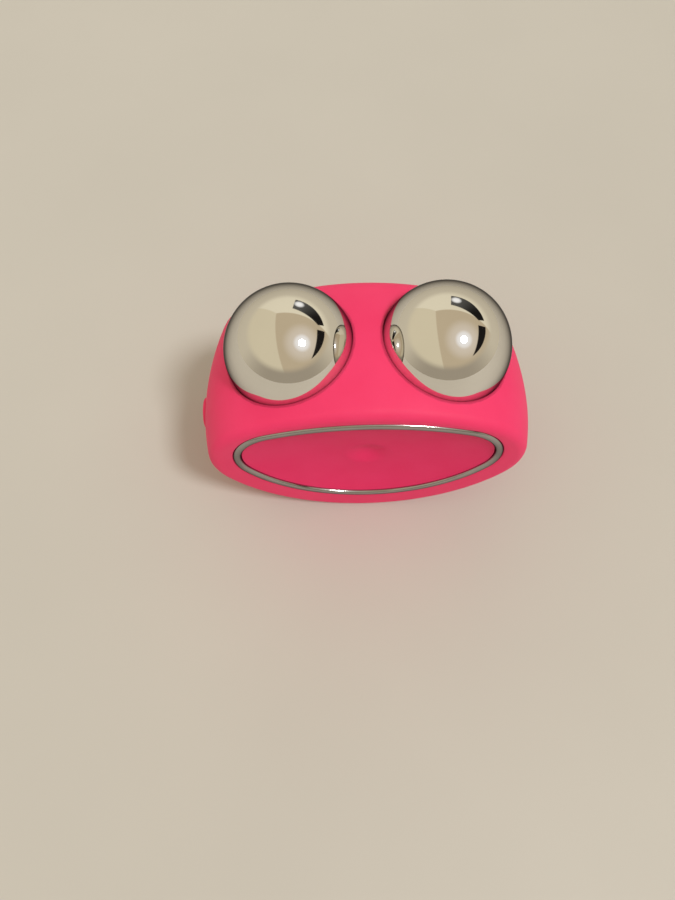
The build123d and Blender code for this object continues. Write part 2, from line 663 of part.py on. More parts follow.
def make_plunger():
    """Rigid plunger between the cap and the switch stem."""
    back = depth(-1, FLOOR_DEPTH)
    flange = rod(BUTTON_RADIUS - PLUNGER_FLANGE_GAP, back, back + PLUNGER_FLANGE, (0, BUTTON_Z))
    return flange + rod(PLUNGER_STEM_RADIUS, back, switch_top(), (0, BUTTON_Z))


def make_switch_stem():
    """Stem of the tact switch, moved by the plunger."""
    end = BOARD_FRONT - SWITCH_HEIGHT + SWITCH_STEM_DEPTH
    return rod(SWITCH_STEM_RADIUS, switch_top(), end, (0, BUTTON_Z))


def make_switch():
    """Square body of the tact switch, with the well its stem sinks into."""
    half = SWITCH_SIZE / 2
    top = BOARD_FRONT - SWITCH_HEIGHT
    body = block((-half, half), (top, BOARD_FRONT), (BUTTON_Z - half, BUTTON_Z + half))
    floor = top + SWITCH_STEM_DEPTH + BUTTON_TRAVEL + SWITCH_STEM_GAP
    return body - rod(SWITCH_STEM_RADIUS + SWITCH_STEM_GAP, top, floor, (0, BUTTON_Z))


def make_board():
    """Circuit board behind the face plate."""
    half = BOARD_WIDTH / 2
    board = block((-half, half), (BOARD_FRONT, BOARD_BACK), (BOARD_BOTTOM, BOARD_TOP))
    board = fillet(board.edges().filter_by(Axis.Y), BOARD_CORNER)
    for place in POST_PLACES:
        board = board - rod(BOARD_SCREW_RADIUS + SCREW_HOLE_GAP, BOARD_FRONT, BOARD_BACK, place)
    return board


def make_board_screws():
    """Two small screws through the board into its posts."""
    screws = []
    for place in POST_PLACES:
        tip = BOARD_BACK - BOARD_THICKNESS - BOARD_SCREW_GRIP + THREAD_GAP
        top = BOARD_BACK + BOARD_SCREW_HEAD_HEIGHT
        screw = rod(BOARD_SCREW_RADIUS, tip, BOARD_BACK, place)
        screws.append(screw + rod(BOARD_SCREW_HEAD_RADIUS, BOARD_BACK, top, place))
    return group(screws)


def guide_block(clearance, y_start, y_end):
    """The light guide's bar, or the slot for it, between two depths."""
    half = GUIDE_WIDTH / 2 + clearance
    rise = GUIDE_HEIGHT / 2 + clearance
    return block((-half, half), (y_start, y_end), (LAMP_Z - rise, LAMP_Z + rise))


def make_light_guide():
    """Clear bar from the lamps through the face plate to the pad's back."""
    guide = guide_block(0, depth(-1, FLOOR_DEPTH), BOARD_FRONT - LAMP_HEIGHT)
    return guide + guide_block(GUIDE_FLANGE_LAP, PLATE_Y, PLATE_Y + GUIDE_FLANGE)


def make_lamps():
    """Three small lamps on the board's front."""
    half = LAMP_SIZE / 2
    depths = (BOARD_FRONT - LAMP_HEIGHT, BOARD_FRONT)
    places = (-LAMP_SPACING, 0, LAMP_SPACING)
    return group(
        [block((x - half, x + half), depths, (LAMP_Z - half, LAMP_Z + half)) for x in places]
    )


def make_chip():
    """Controller chip on the board's back."""
    half = CHIP_SIZE / 2
    middle = BOARD_BOTTOM + CHIP_RISE
    return block((-half, half), (BOARD_BACK, BOARD_BACK + CHIP_HEIGHT), (middle - half, middle + half))


def make_inductor():
    """Boost inductor on the board's front."""
    half = INDUCTOR_SIZE / 2
    depths = (BOARD_FRONT - INDUCTOR_HEIGHT, BOARD_FRONT)
    return block((PARTS_SIDE - half, PARTS_SIDE + half), depths, (PARTS_Z - half, PARTS_Z + half))


def make_capacitor():
    """Storage capacitor on the board's front."""
    half, rise = CAPACITOR_SIZE / 2, CAPACITOR_LENGTH / 2
    x = (-PARTS_SIDE - half, -PARTS_SIDE + half)
    return block(x, (BOARD_FRONT - CAPACITOR_SIZE, BOARD_FRONT), (PARTS_Z - rise, PARTS_Z + rise))


# ------------------------------------------------------------ battery, motor
def cell_bottom():
    """Level of the battery's lower face, clear of the round belly."""
    belly = BODY.inset(INNER_DEPTH + draw(CELL_BACK))
    half = CELL_SIDE
    sag = belly.belly_radius - sqrt(belly.belly_radius**2 - half**2)
    return belly.bottom + sag + CELL_FLOOR_GAP


def make_cell():
    """Flat lithium cell."""
    half = CELL_SIDE
    bottom = cell_bottom()
    cell = block((-half, half), (CELL_FRONT, CELL_BACK), (bottom, bottom + CELL_HEIGHT))
    return fillet(cell.edges().filter_by(Axis.Z), CELL_EDGE_RADIUS)


def make_foam():
    """Double-sided foam between the cell and the motor's boot."""
    half = CELL_SIDE - FOAM_MARGIN
    bottom = cell_bottom()
    level = (bottom + FOAM_MARGIN, bottom + CELL_HEIGHT - FOAM_MARGIN)
    return block((-half, half), (CELL_BACK, CELL_BACK + FOAM_THICKNESS), level)


def make_motor():
    """Motor can, with the well that its shaft turns in."""
    axis = (MOTOR_Y, MOTOR_HEIGHT)
    can = bar(MOTOR_RADIUS, MOTOR_START, MOTOR_END, axis)
    well = bar(SHAFT_RADIUS + MOTOR_WELL_GAP, MOTOR_END - MOTOR_WELL_DEPTH, MOTOR_END, axis)
    return can - well


def make_bush():
    """Bearing bush on the can's end."""
    axis = (MOTOR_Y, MOTOR_HEIGHT)
    bush = bar(BUSH_RADIUS, MOTOR_END, MOTOR_END + BUSH_LENGTH, axis)
    return bush - bar(SHAFT_RADIUS + SHAFT_RUNNING_GAP, MOTOR_END, MOTOR_END + BUSH_LENGTH, axis)


def make_shaft():
    """Motor shaft."""
    start = MOTOR_END - MOTOR_WELL_DEPTH + MOTOR_WELL_GAP
    return bar(SHAFT_RADIUS, start, MOTOR_END + SHAFT_OVERHANG, (MOTOR_Y, MOTOR_HEIGHT))


def make_weight():
    """Eccentric weight: half a disc on a hub, hanging down at rest."""
    axis = (MOTOR_Y, MOTOR_HEIGHT)
    start = MOTOR_END + BUSH_LENGTH + WEIGHT_GAP
    end = start + WEIGHT_LENGTH
    disc = bar(WEIGHT_RADIUS, start, end, axis)
    lower = block(
        (start, end),
        (MOTOR_Y - WEIGHT_RADIUS, MOTOR_Y + WEIGHT_RADIUS),
        (MOTOR_HEIGHT - WEIGHT_RADIUS, MOTOR_HEIGHT),
    )
    weight = (disc & lower) + bar(WEIGHT_HUB_RADIUS, start, end, axis)
    return weight - bar(SHAFT_RADIUS, start, end, axis)


def make_boot():
    """Rubber boot round the motor, held between the foam and the rear plate."""
    boot = block(
        (MOTOR_START + BOOT_MARGIN, MOTOR_END - BOOT_MARGIN),
        (CELL_BACK + FOAM_THICKNESS, REAR_PLATE_Y),
        (MOTOR_HEIGHT - BOOT_HALF, MOTOR_HEIGHT + BOOT_HALF),
    )
    return boot - bar(MOTOR_RADIUS, MOTOR_START, MOTOR_END, (MOTOR_Y, MOTOR_HEIGHT))


# ------------------------------------------------------------ charging socket
def make_socket():
    """Charging socket: a block with a round nose and a blind round bore."""
    axis = (WIDEST_Y, FLANK_Z)
    half = SOCKET_BODY / 2
    body = block(
        (-SOCKET_SHOULDER, -SOCKET_END),
        (WIDEST_Y - half, WIDEST_Y + half),
        (FLANK_Z - half, FLANK_Z + half),
    )
    body = body + bar(SOCKET_NOSE_RADIUS, -SOCKET_MOUTH, -SOCKET_SHOULDER, axis)
    return body - bar(SOCKET_RADIUS, -SOCKET_MOUTH, -SOCKET_MOUTH + SOCKET_DEPTH, axis)


def make_grommet():
    """Soft lip round the socket's mouth, a little proud of the flank."""
    axis = (WIDEST_Y, FLANK_Z)
    outside = -BODY_WIDTH / 2 - GROMMET_PROUD
    grommet = bar(GROMMET_RADIUS, outside, -WALL_INSIDE, axis)
    rim = [edge for edge in grommet.edges() if abs(edge.center().X - outside) < 0.01]
    grommet = fillet(rim, GROMMET_EDGE)
    grommet = grommet - bar(SOCKET_NOSE_RADIUS, -SOCKET_MOUTH, -WALL_INSIDE, axis)
    return grommet - bar(SOCKET_RADIUS + GROMMET_MOUTH_GAP, outside, -SOCKET_MOUTH, axis)


# -------------------------------------------------------------------- wiring
def lead(points):
    """Round wire along straight runs joined by arcs, one radius per corner."""
    route = [Vector(*point) for point in points]
    radii = []
    for before, corner, after in zip(route, route[1:], route[2:]):
        shorter = min((corner - before).length, (after - corner).length)
        turn = radians((corner - before).get_angle(after - corner)) / 2
        radii.append(LEAD_BEND_SHARE * shorter * cos(turn) / sin(turn))
    path = FilletPolyline(*route, radius=radii)
    section = Plane(origin=path @ 0, z_dir=path % 0) * Circle(LEAD_RADIUS)
    return sweep(section, path=path)


def make_battery_leads():
    """Two wires from the cell's top edge to the board's back."""
    top = cell_bottom() + CELL_HEIGHT
    y = (CELL_FRONT + CELL_BACK) / 2
    rise = top + LEAD_ROUTE_GAP
    start = CHIP_SIZE / 2 + LEAD_ROUTE_GAP
    return group(
        [
            lead([(x, y, top), (x, y, rise), (x, BOARD_BACK, rise)])
            for x in (start, start + LEAD_PITCH)
        ]
    )


def make_motor_leads():
    """Two wires from the motor's blind end round the cell to the board."""
    x = -CELL_SIDE - LEAD_ROUTE_GAP
    levels = (MOTOR_HEIGHT - LEAD_PITCH / 2, MOTOR_HEIGHT + LEAD_PITCH / 2)
    return group(
        [
            lead([(MOTOR_START, MOTOR_Y, z), (x, MOTOR_Y, z), (x, BOARD_BACK, z)])
            for z in levels
        ]
    )


def make_socket_leads():
    """Two wires from the socket's tail to the board."""
    x = -BOARD_WIDTH / 2 + LEAD_ROUTE_GAP
    levels = (FLANK_Z - LEAD_PITCH, FLANK_Z)
    return group(
        [
            lead([(-SOCKET_END, WIDEST_Y, z), (x, WIDEST_Y, z), (x, BOARD_BACK, z)])
            for z in levels
        ]
    )


def build():
    """Every piece of the device by its node's name."""
    outer = body_form(0)
    middle = body_form(SKIN_WALL)
    inner = body_form(INNER_DEPTH)
    front_casing, rear_casing = make_casings(middle, inner)
    pieces = {
        "silicone_skin": make_skin(outer, middle),
        "front_casing": front_casing,
        "rear_casing": rear_casing,
        "casing_screws": make_casing_screws(),
        "front_trim_ring": make_ring(FRONT_RING, -1),
        "rear_trim_ring": make_ring(REAR_RING, 1),
        "front_dish": make_front_pad(),
        "rear_dish": make_rear_pad(),
        "button_cap": make_button_cap(),
        "button_plunger": make_plunger(),
        "switch_stem": make_switch_stem(),
        "tact_switch": make_switch(),
        "main_board": make_board(),
        "board_screws": make_board_screws(),
        "status_leds": make_lamps(),
        "light_guide": make_light_guide(),
        "controller_chip": make_chip(),
        "boost_inductor": make_inductor(),
        "storage_capacitor": make_capacitor(),
        "ball_bridge": make_bridge(),
        "battery_cell": make_cell(),
        "battery_foam": make_foam(),
        "battery_leads": make_battery_leads(),
        "motor_can": make_motor(),
        "motor_bush": make_bush(),
        "motor_shaft": make_shaft(),
        "eccentric_weight": make_weight(),
        "motor_boot": make_boot(),
        "motor_leads": make_motor_leads(),
        "charging_socket": make_socket(),
        "socket_grommet": make_grommet(),
        "socket_leads": make_socket_leads(),
    }
    paired = {
        "ball": make_ball(),
        "ball_insert": make_insert(),
        "ball_screw": make_ball_screw(),
        "ball_seal": make_seal(),
        "terminal_tag": make_tag(),
        "electrode_lead": make_electrode_lead(),
    }
    for name, shape in paired.items():
        pieces["right_" + name] = shape
        pieces["left_" + name] = twin(shape)
    return pieces


os.makedirs("parts", exist_ok=True)
for node, shape in build().items():
    export_step(shape, f"parts/{node}.step")
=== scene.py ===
"""Facial toning device: finished surfaces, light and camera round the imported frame."""

import logging
from collections.abc import Iterator
from contextlib import contextmanager
from dataclasses import astuple, dataclass
from enum import Enum
from functools import reduce
from math import acos, asin, atan2, cos, hypot, pi, radians, sin, sqrt

import bmesh
import bpy
import numpy as np
from mathutils import Matrix, Vector


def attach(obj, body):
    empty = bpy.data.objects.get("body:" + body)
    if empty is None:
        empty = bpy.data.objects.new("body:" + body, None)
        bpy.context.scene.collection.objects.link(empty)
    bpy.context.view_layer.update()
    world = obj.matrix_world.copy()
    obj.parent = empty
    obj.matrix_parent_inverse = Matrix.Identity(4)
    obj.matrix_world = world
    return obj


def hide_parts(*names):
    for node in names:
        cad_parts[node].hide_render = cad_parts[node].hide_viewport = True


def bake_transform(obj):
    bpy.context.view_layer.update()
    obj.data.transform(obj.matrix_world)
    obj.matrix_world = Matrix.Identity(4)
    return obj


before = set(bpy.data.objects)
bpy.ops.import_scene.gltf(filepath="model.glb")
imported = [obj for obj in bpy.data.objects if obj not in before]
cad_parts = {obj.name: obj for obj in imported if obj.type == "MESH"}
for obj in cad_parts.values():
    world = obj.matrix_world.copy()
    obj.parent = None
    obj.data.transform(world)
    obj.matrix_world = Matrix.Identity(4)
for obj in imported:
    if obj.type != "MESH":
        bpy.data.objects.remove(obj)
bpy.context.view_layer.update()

logging.basicConfig(level=logging.INFO, format="%(levelname)s %(message)s")
LOG = logging.getLogger("toner")

Socket = bpy.types.NodeSocket
Outputs = bpy.types.NodeOutputs
Piece = bpy.types.Object
Rows = list[tuple[float, float]]

MM = 0.001
DEVICE, BUTTON = "device", "button"
RIGHT, FRONT, BACK = (1.0, 0.0, 0.0), (0.0, -1.0, 0.0), (0.0, 1.0, 0.0)
SIDES = {-1: "left", 1: "right"}
FACES = {-1: "front", 1: "rear"}
SAME_POINT = 0.001  # mm, closer points are one
PORT_STEPS = 96
SHARE_HALVINGS, LIP_HALVINGS, TOUCH_ROUNDS = 34, 40, 30  # steps of each search

# ---- body sizes, mm
HALF_DEPTH = 16.25
WIDEST_Y = -4.5
FRONT_DRAW, REAR_DRAW = 1.5, 3.5
SKIN_WALL = 1.6
BALL_RADIUS = 12.5
BALL_X, BALL_Z = 14.65, 40.6
BALL_TILT = radians(17.0)
RING_HALF = 0.8
REAR_RING_INSET = 3.4
BUTTON_Z = 23.45
BUTTON_RADIUS = 5.0
SOCKET_PLACE = (0.0, -4.5, 24.543)


# ---- outlines
@dataclass(frozen=True)
class Outline:
    """Closed outline of four tangent arcs in the XZ plane: crown, flanks, belly."""

    half_width: float
    top: float
    bottom: float
    crown_radius: float
    flank_radius: float

    @property
    def flank(self) -> tuple[float, float]:
        """Centre of the right flank's arc."""
        x, apart = self.half_width - self.flank_radius, self.crown_radius - self.flank_radius
        return x, self.top - self.crown_radius + sqrt(apart**2 - x**2)

    @property
    def belly_radius(self) -> float:
        """Radius of the belly's arc."""
        (x, z), r = self.flank, self.flank_radius
        return (x**2 + (z - self.bottom) ** 2 - r**2) / (2 * (z - self.bottom - r))

    @property
    def middle(self) -> float:
        """Level halfway between top and bottom."""
        return (self.top + self.bottom) / 2

    def inset(self, distance: float) -> "Outline":
        """The outline moved inwards by a distance."""
        signs = (1, 1, -1, 1, 1)
        return Outline(*(size - sign * distance for size, sign in zip(astuple(self), signs)))

    def walk(self, count: int) -> tuple[np.ndarray, np.ndarray]:
        """Points evenly spaced along the outline from its top, and their outward normals.

        Args:
            count: number of points.

        Returns:
            Points and normals, each as rows of x and z.
        """
        x, z = self.flank
        crown_z = self.top - self.crown_radius
        belly_z = self.bottom + self.belly_radius
        upper = atan2(z - crown_z, x)
        lower = atan2(z - belly_z, x)
        arcs = [
            (0.0, crown_z, self.crown_radius, pi / 2, upper),
            (x, z, self.flank_radius, upper, lower),
            (0.0, belly_z, self.belly_radius, lower, -pi - lower),
            (-x, z, self.flank_radius, -pi - lower, -pi - upper),
            (0.0, crown_z, self.crown_radius, -pi - upper, -3 * pi / 2),
        ]
        lengths = [r * abs(end - start) for _, _, r, start, end in arcs]
        marks = np.concatenate([[0.0], np.cumsum(lengths)])
        points, normals = [], []
        for step in range(count):
            along = marks[-1] * step / count
            k = min(int(np.searchsorted(marks, along, side="right")) - 1, len(arcs) - 1)
            cx, cz, r, start, end = arcs[k]
            angle = start + (end - start) * (along - marks[k]) / lengths[k]
            normal = (cos(angle), sin(angle))
            points.append((cx + r * normal[0], cz + r * normal[1]))
            normals.append(normal)
        return np.array(points), np.array(normals)

    def signed(self, x: float, z: float) -> float:
        """Distance of a point outside the outline, negative inside.

        Args:
            x: place across.
            z: level.

        Returns:
            The signed distance.
        """
        side = abs(x)
        flank_x, flank_z = self.flank
        crown_z = self.top - self.crown_radius
        belly_z = self.bottom + self.belly_radius
        if z > flank_z and side * (flank_z - crown_z) <= flank_x * (z - crown_z):
            return hypot(side, z - crown_z) - self.crown_radius
        if z <= flank_z and side * (belly_z - flank_z) <= flank_x * (belly_z - z):
            return hypot(side, z - belly_z) - self.belly_radius
        return hypot(side - flank_x, z - flank_z) - self.flank_radius

    def share(self, x: float, z: float) -> float:
        """How far out a point lies from the middle, as a share of the outline's reach.

        Args:
            x: place across.
            z: level.

        Returns:
            0 in the middle, 1 on the outline.
        """
        away = hypot(x, z - self.middle)
        if away < 1e-9:
            return 0.0
        way_x, way_z = x / away, (z - self.middle) / away
        low, high = 0.0, 2 * self.half_width
        for _ in range(SHARE_HALVINGS):
            trial = (low + high) / 2
            inside = self.signed(way_x * trial, self.middle + way_z * trial) < 0
            low, high = (trial, high) if inside else (low, trial)
        return away / low


BODY = Outline(32.8, 44.7, -1.0, 53.0, 16.2)
FRONT_RING = Outline(25.7, 39.6, 8.1, 56.0, 10.0)
REAR_RING = FRONT_RING.inset(REAR_RING_INSET)
RINGS = {-1: FRONT_RING, 1: REAR_RING}


# ---- finishes
def linear(code: str) -> tuple[float, float, float, float]:
    """Turns an sRGB hex colour to linear light.

    Args:
        code: six hex digits.

    Returns:
        Red, green, blue and alpha in linear light.
    """
    parts = [int(code[i : i + 2], 16) / 255 for i in (0, 2, 4)]
    light = [p / 12.92 if p <= 0.04045 else ((p + 0.055) / 1.055) ** 2.4 for p in parts]
    return light[0], light[1], light[2], 1.0


class Graph:
    """Node tree that is drawn anew, with the coordinates that its patterns read."""

    def __init__(self, owner: bpy.types.Material | bpy.types.World, place: str) -> None:
        """Empties the owner's tree and adds the coordinates.

        Args:
            owner: the material or the world.
            place: which coordinates it reads.
        """
        owner.use_nodes = True
        self.tree = owner.node_tree
        self.tree.nodes.clear()
        self.place = self.add("TexCoord")[place]

    def add(self, kind: str, inputs: dict | None = None, **settings: object) -> Outputs:
        """Adds one node with its settings, values and links.

        Args:
            kind: the node's type name without its prefix.
            inputs: values or other nodes' outputs, by input name or number.
            settings: the node's own properties.

        Returns:
            The new node's outputs.
        """
        node = self.tree.nodes.new(f"ShaderNode{kind}")
        for key, value in settings.items():
            setattr(node, key, value)
        for key, value in (inputs or {}).items():
            if isinstance(value, Socket):
                self.tree.links.new(value, node.inputs[key])
            else:
                node.inputs[key].default_value = value
        return node.outputs

    def product(self, *factors: Socket | float) -> Socket:
        """Product of masks and numbers."""
        return reduce(lambda a, b: self.add("Math", {0: a, 1: b}, operation="MULTIPLY")[0], factors)

    def layered(self, colour: Socket | tuple, *layers: tuple) -> Socket:
        """Lays colours over one another, each through its mask.

        Args:
            colour: the undermost colour.
            layers: pairs of a mask and the colour that it lets through.

        Returns:
            The colour on top.
        """
        for mask, above in layers:
            colour = self.add("Mix", {0: mask, 6: colour, 7: above}, data_type="RGBA")[2]
        return colour

    def beyond(self, value: Socket, edge: float, width: float) -> Socket:
        """Mask that is 1 where a value is above an edge."""
        ends = {"Value": value, "From Min": edge - width / 2, "From Max": edge + width / 2}
        return self.add("MapRange", ends, interpolation_type="SMOOTHSTEP")["Result"]

    def near(self, way: Vector | tuple, edge: float, width: float) -> Socket:
        """Mask that is 1 where the coordinates point close enough along a direction.

        Args:
            way: the direction.
            edge: the share along it at the middle of the change.
            width: the width of the change.

        Returns:
            The mask.
        """
        inputs = {0: self.place, 1: Vector(way).normalized()}
        along = self.add("VectorMath", inputs, operation="DOT_PRODUCT")["Value"]
        return self.beyond(along, edge, width)


class Grain(Enum):
    """Small relief of a surface: its node and output, share of the scale, and inputs."""

    FINE = ("TexNoise", "Fac", 1.0, {"Detail": 2.0})  # soft moulded grain
    CELLS = ("TexVoronoi", "Distance", 1.0, {})  # closed foam cells
    LINES = ("TexWave", "Fac", 0.5, {"Distortion": 1.5, "Detail": 2.0})  # turned or drawn lines


@dataclass(frozen=True)
class Finish:
    """A surface finish: colour that varies a little, relief, and gloss that varies.

    Moulded grain is some 0.05 mm wide in truth, and is drawn 0.1 to 0.6 mm wide so
    that it shows.
    """

    name: str
    base: str
    second: str
    patch_mm: float
    roughness: float
    gloss_span: float
    relief_mm: float
    relief_size_mm: float
    patch_ends: tuple = (0.3, 0.7)
    haze_share: float = 0.8
    haze_ends: tuple = (0.35, 0.7)
    metallic: float = 0.0
    ior: float = 1.5
    grain: Grain = Grain.FINE
    coat: float = 0.0
    coat_roughness: float = 0.12
    sheen: float = 0.0
    sheen_roughness: float = 0.45
    subsurface: float = 0.0
    scatter_mm: float = 0.6
    scatter_radii: tuple = (1.0, 0.35, 0.4)
    transmission: float = 0.0
    edge: str = "FFFFFF"

    def material(self) -> bpy.types.Material:
        """Builds the node material.

        Returns:
            The material.
        """
        made = bpy.data.materials.new(self.name)
        graph = Graph(made, "Object")
        inputs = {
            "Base Color": self.colour(graph),
            "Roughness": self.gloss(graph),
            "Normal": self.relief(graph),
            "Metallic": self.metallic,
            "IOR": self.ior,
            "Coat Weight": self.coat,
            "Coat Roughness": self.coat_roughness,
            "Sheen Weight": self.sheen,
            "Sheen Roughness": self.sheen_roughness,
            "Subsurface Weight": self.subsurface,
            "Subsurface Scale": self.scatter_mm * MM,
            "Subsurface Radius": self.scatter_radii,
            "Transmission Weight": self.transmission,
            "Specular Tint": linear(self.edge),
        }
        graph.add("OutputMaterial", {"Surface": graph.add("BsdfPrincipled", inputs)[0]})
        made.diffuse_color = linear(self.base)
        return made

    def colour(self, graph: Graph) -> Socket:
        """Two close colours mixed in soft patches.

        Args:
            graph: where it is drawn.

        Returns:
            The colour.
        """
        inputs = {"Vector": graph.place, "Scale": 1 / (self.patch_mm * MM), "Detail": 3.0}
        mixed = graph.add("ValToRGB", {"Fac": graph.add("TexNoise", inputs)["Fac"]})["Color"]
        stops = zip(mixed.node.color_ramp.elements, self.patch_ends, (self.base, self.second))
        for element, position, code in stops:
            element.position = position
            element.color = linear(code)
        return mixed

    def gloss(self, graph: Graph) -> Socket:
        """Roughness that wanders round its mean, as handling leaves it.

        Args:
            graph: where it is drawn.

        Returns:
            The roughness.
        """
        scale = 1 / (self.patch_mm * self.haze_share * MM)
        inputs = {"Vector": graph.place, "Scale": scale, "Detail": 4.0, "Roughness": 0.6}
        inputs = {
            "Value": graph.add("TexNoise", inputs)["Fac"],
            "From Min": self.haze_ends[0], "From Max": self.haze_ends[1],
            "To Min": self.roughness, "To Max": self.roughness + self.gloss_span,
        }
        return graph.add("MapRange", inputs)["Result"]

    def relief(self, graph: Graph) -> Socket:
        """Small relief of the surface as a bump.

        Args:
            graph: where it is drawn.

        Returns:
            The normal.
        """
        kind, output, share, inputs = self.grain.value
        scale = share / (self.relief_size_mm * MM)
        height = graph.add(kind, {"Vector": graph.place, "Scale": scale, **inputs})[output]
        inputs = {"Height": height, "Strength": 1.0, "Distance": self.relief_mm * MM}
        return graph.add("Bump", inputs)["Normal"]


@dataclass(frozen=True)
class SleeveSilicone(Finish):
    """Silicone of the sleeve, with a thin uneven line of painted shade along each ball's lip."""

    # painted shade: the dark line in the crease where the sleeve's lip meets a ball
    lip_shade: str = "A61F46"
    lip_shade_share: float = 0.52
    lip_shade_start_mm: float = 0.1
    lip_shade_width_mm: float = 0.28
    lip_shade_waver_mm: float = 0.4
    lip_shade_spot_mm: float = 1.3

    def colour(self, graph: Graph) -> Socket:
        """Patchy pink with a darker line of painted shade along each ball's lip.

        Args:
            graph: where it is drawn.

        Returns:
            The colour.
        """
        near = {}
        for key, x in enumerate((-BALL_X * MM, BALL_X * MM)):
            ends = {0: graph.place, 1: (x, 0.0, BALL_Z * MM)}
            near[key] = graph.add("VectorMath", ends, operation="DISTANCE")["Value"]
        nearest = graph.add("Math", near, operation="MINIMUM")[0]
        inputs = {"Vector": graph.place, "Scale": 1 / (self.lip_shade_spot_mm * MM), "Detail": 4.0}
        spots = graph.add("TexNoise", inputs)["Fac"]
        inputs = {0: spots, 1: -self.lip_shade_waver_mm * MM, 2: nearest}
        start = BALL_RADIUS + self.lip_shade_start_mm
        inputs = {
            "Value": graph.add("Math", inputs, operation="MULTIPLY_ADD")[0],
            "From Min": start * MM, "From Max": (start + self.lip_shade_width_mm) * MM,
            "To Min": self.lip_shade_share, "To Max": 0.0,
        }
        # mask of the painted shade, strongest right at the lip
        mask = graph.add("MapRange", inputs)["Result"]
        return graph.layered(super().colour(graph), (mask, linear(self.lip_shade)))


@dataclass(frozen=True)
class BallChrome(Finish):
    """Mirror plating, smeared in a thin band where the silicone wipes it, and tinted there with a
    painted darker reflection of the skin.
    """

    # pink-grey tint over the sleeve: partly a real smear, partly a painted darker reflection of the
    # skin
    smear_and_painted_reflection: str = "9C7A82"
    smear_and_reflection_share: float = 0.38
    film_haze: float = 0.13
    band_start_mm: float = 0.4
    band_end_mm: float = 1.3
    blot_mm: float = 0.7
    blot_ends: tuple = (0.36, 0.64)
    blot_least: float = 0.5

    def band(self, graph: Graph) -> Socket:
        """Blotchy mask, 1 just over the sleeve and 0 higher up.

        Args:
            graph: where it is drawn.

        Returns:
            The mask.
        """
        y = graph.add("SeparateXYZ", {"Vector": graph.place})["Y"]
        back = graph.add("Math", {0: y, 1: -WIDEST_Y * MM}, operation="ADD")[0]
        drawn = graph.product(back, back, REAR_DRAW * MM / ((HALF_DEPTH - WIDEST_Y) * MM) ** 2)
        inputs = {0: graph.place, 1: (1.0, 0.0, 1.0)}
        flat = graph.add("VectorMath", inputs, operation="MULTIPLY")[0]
        inputs = {0: flat, 1: (0.0, 0.0, (BODY.top - BODY.crown_radius) * MM)}
        away = graph.add("VectorMath", inputs, operation="DISTANCE")["Value"]
        inputs = {
            "Value": graph.add("Math", {0: away, 1: drawn}, operation="ADD")[0],
            "From Min": (BODY.crown_radius + self.band_start_mm) * MM,
            "From Max": (BODY.crown_radius + self.band_end_mm) * MM,
            "To Min": 1.0, "To Max": 0.0,
        }
        near = graph.add("MapRange", inputs)["Result"]
        inputs = {"Vector": graph.place, "Scale": 1 / (self.blot_mm * MM), "Detail": 4.0}
        blots = graph.add("TexNoise", inputs)["Fac"]
        inputs = {
            "Value": blots, "From Min": self.blot_ends[0], "From Max": self.blot_ends[1],
            "To Min": self.blot_least, "To Max": 1.0,
        }
        return graph.product(near, graph.add("MapRange", inputs)["Result"])

    def gloss(self, graph: Graph) -> Socket:
        """Clean gloss above, haze just over the sleeve."""
        inputs = {0: self.band(graph), 1: self.film_haze, 2: super().gloss(graph)}
        return graph.add("Math", inputs, operation="MULTIPLY_ADD")[0]

    def colour(self, graph: Graph) -> Socket:
        """Clear plating above; just over the sleeve a pink-grey tint, partly a wiped smear and
        partly a painted darker reflection of the skin.
        """
        # painted reflection: the tint stands in for the skin's darker mirrored image, with a real
        # smear
        mask = graph.product(self.band(graph), self.smear_and_reflection_share)
        return graph.layered(super().colour(graph), (mask, linear(self.smear_and_painted_reflection)))


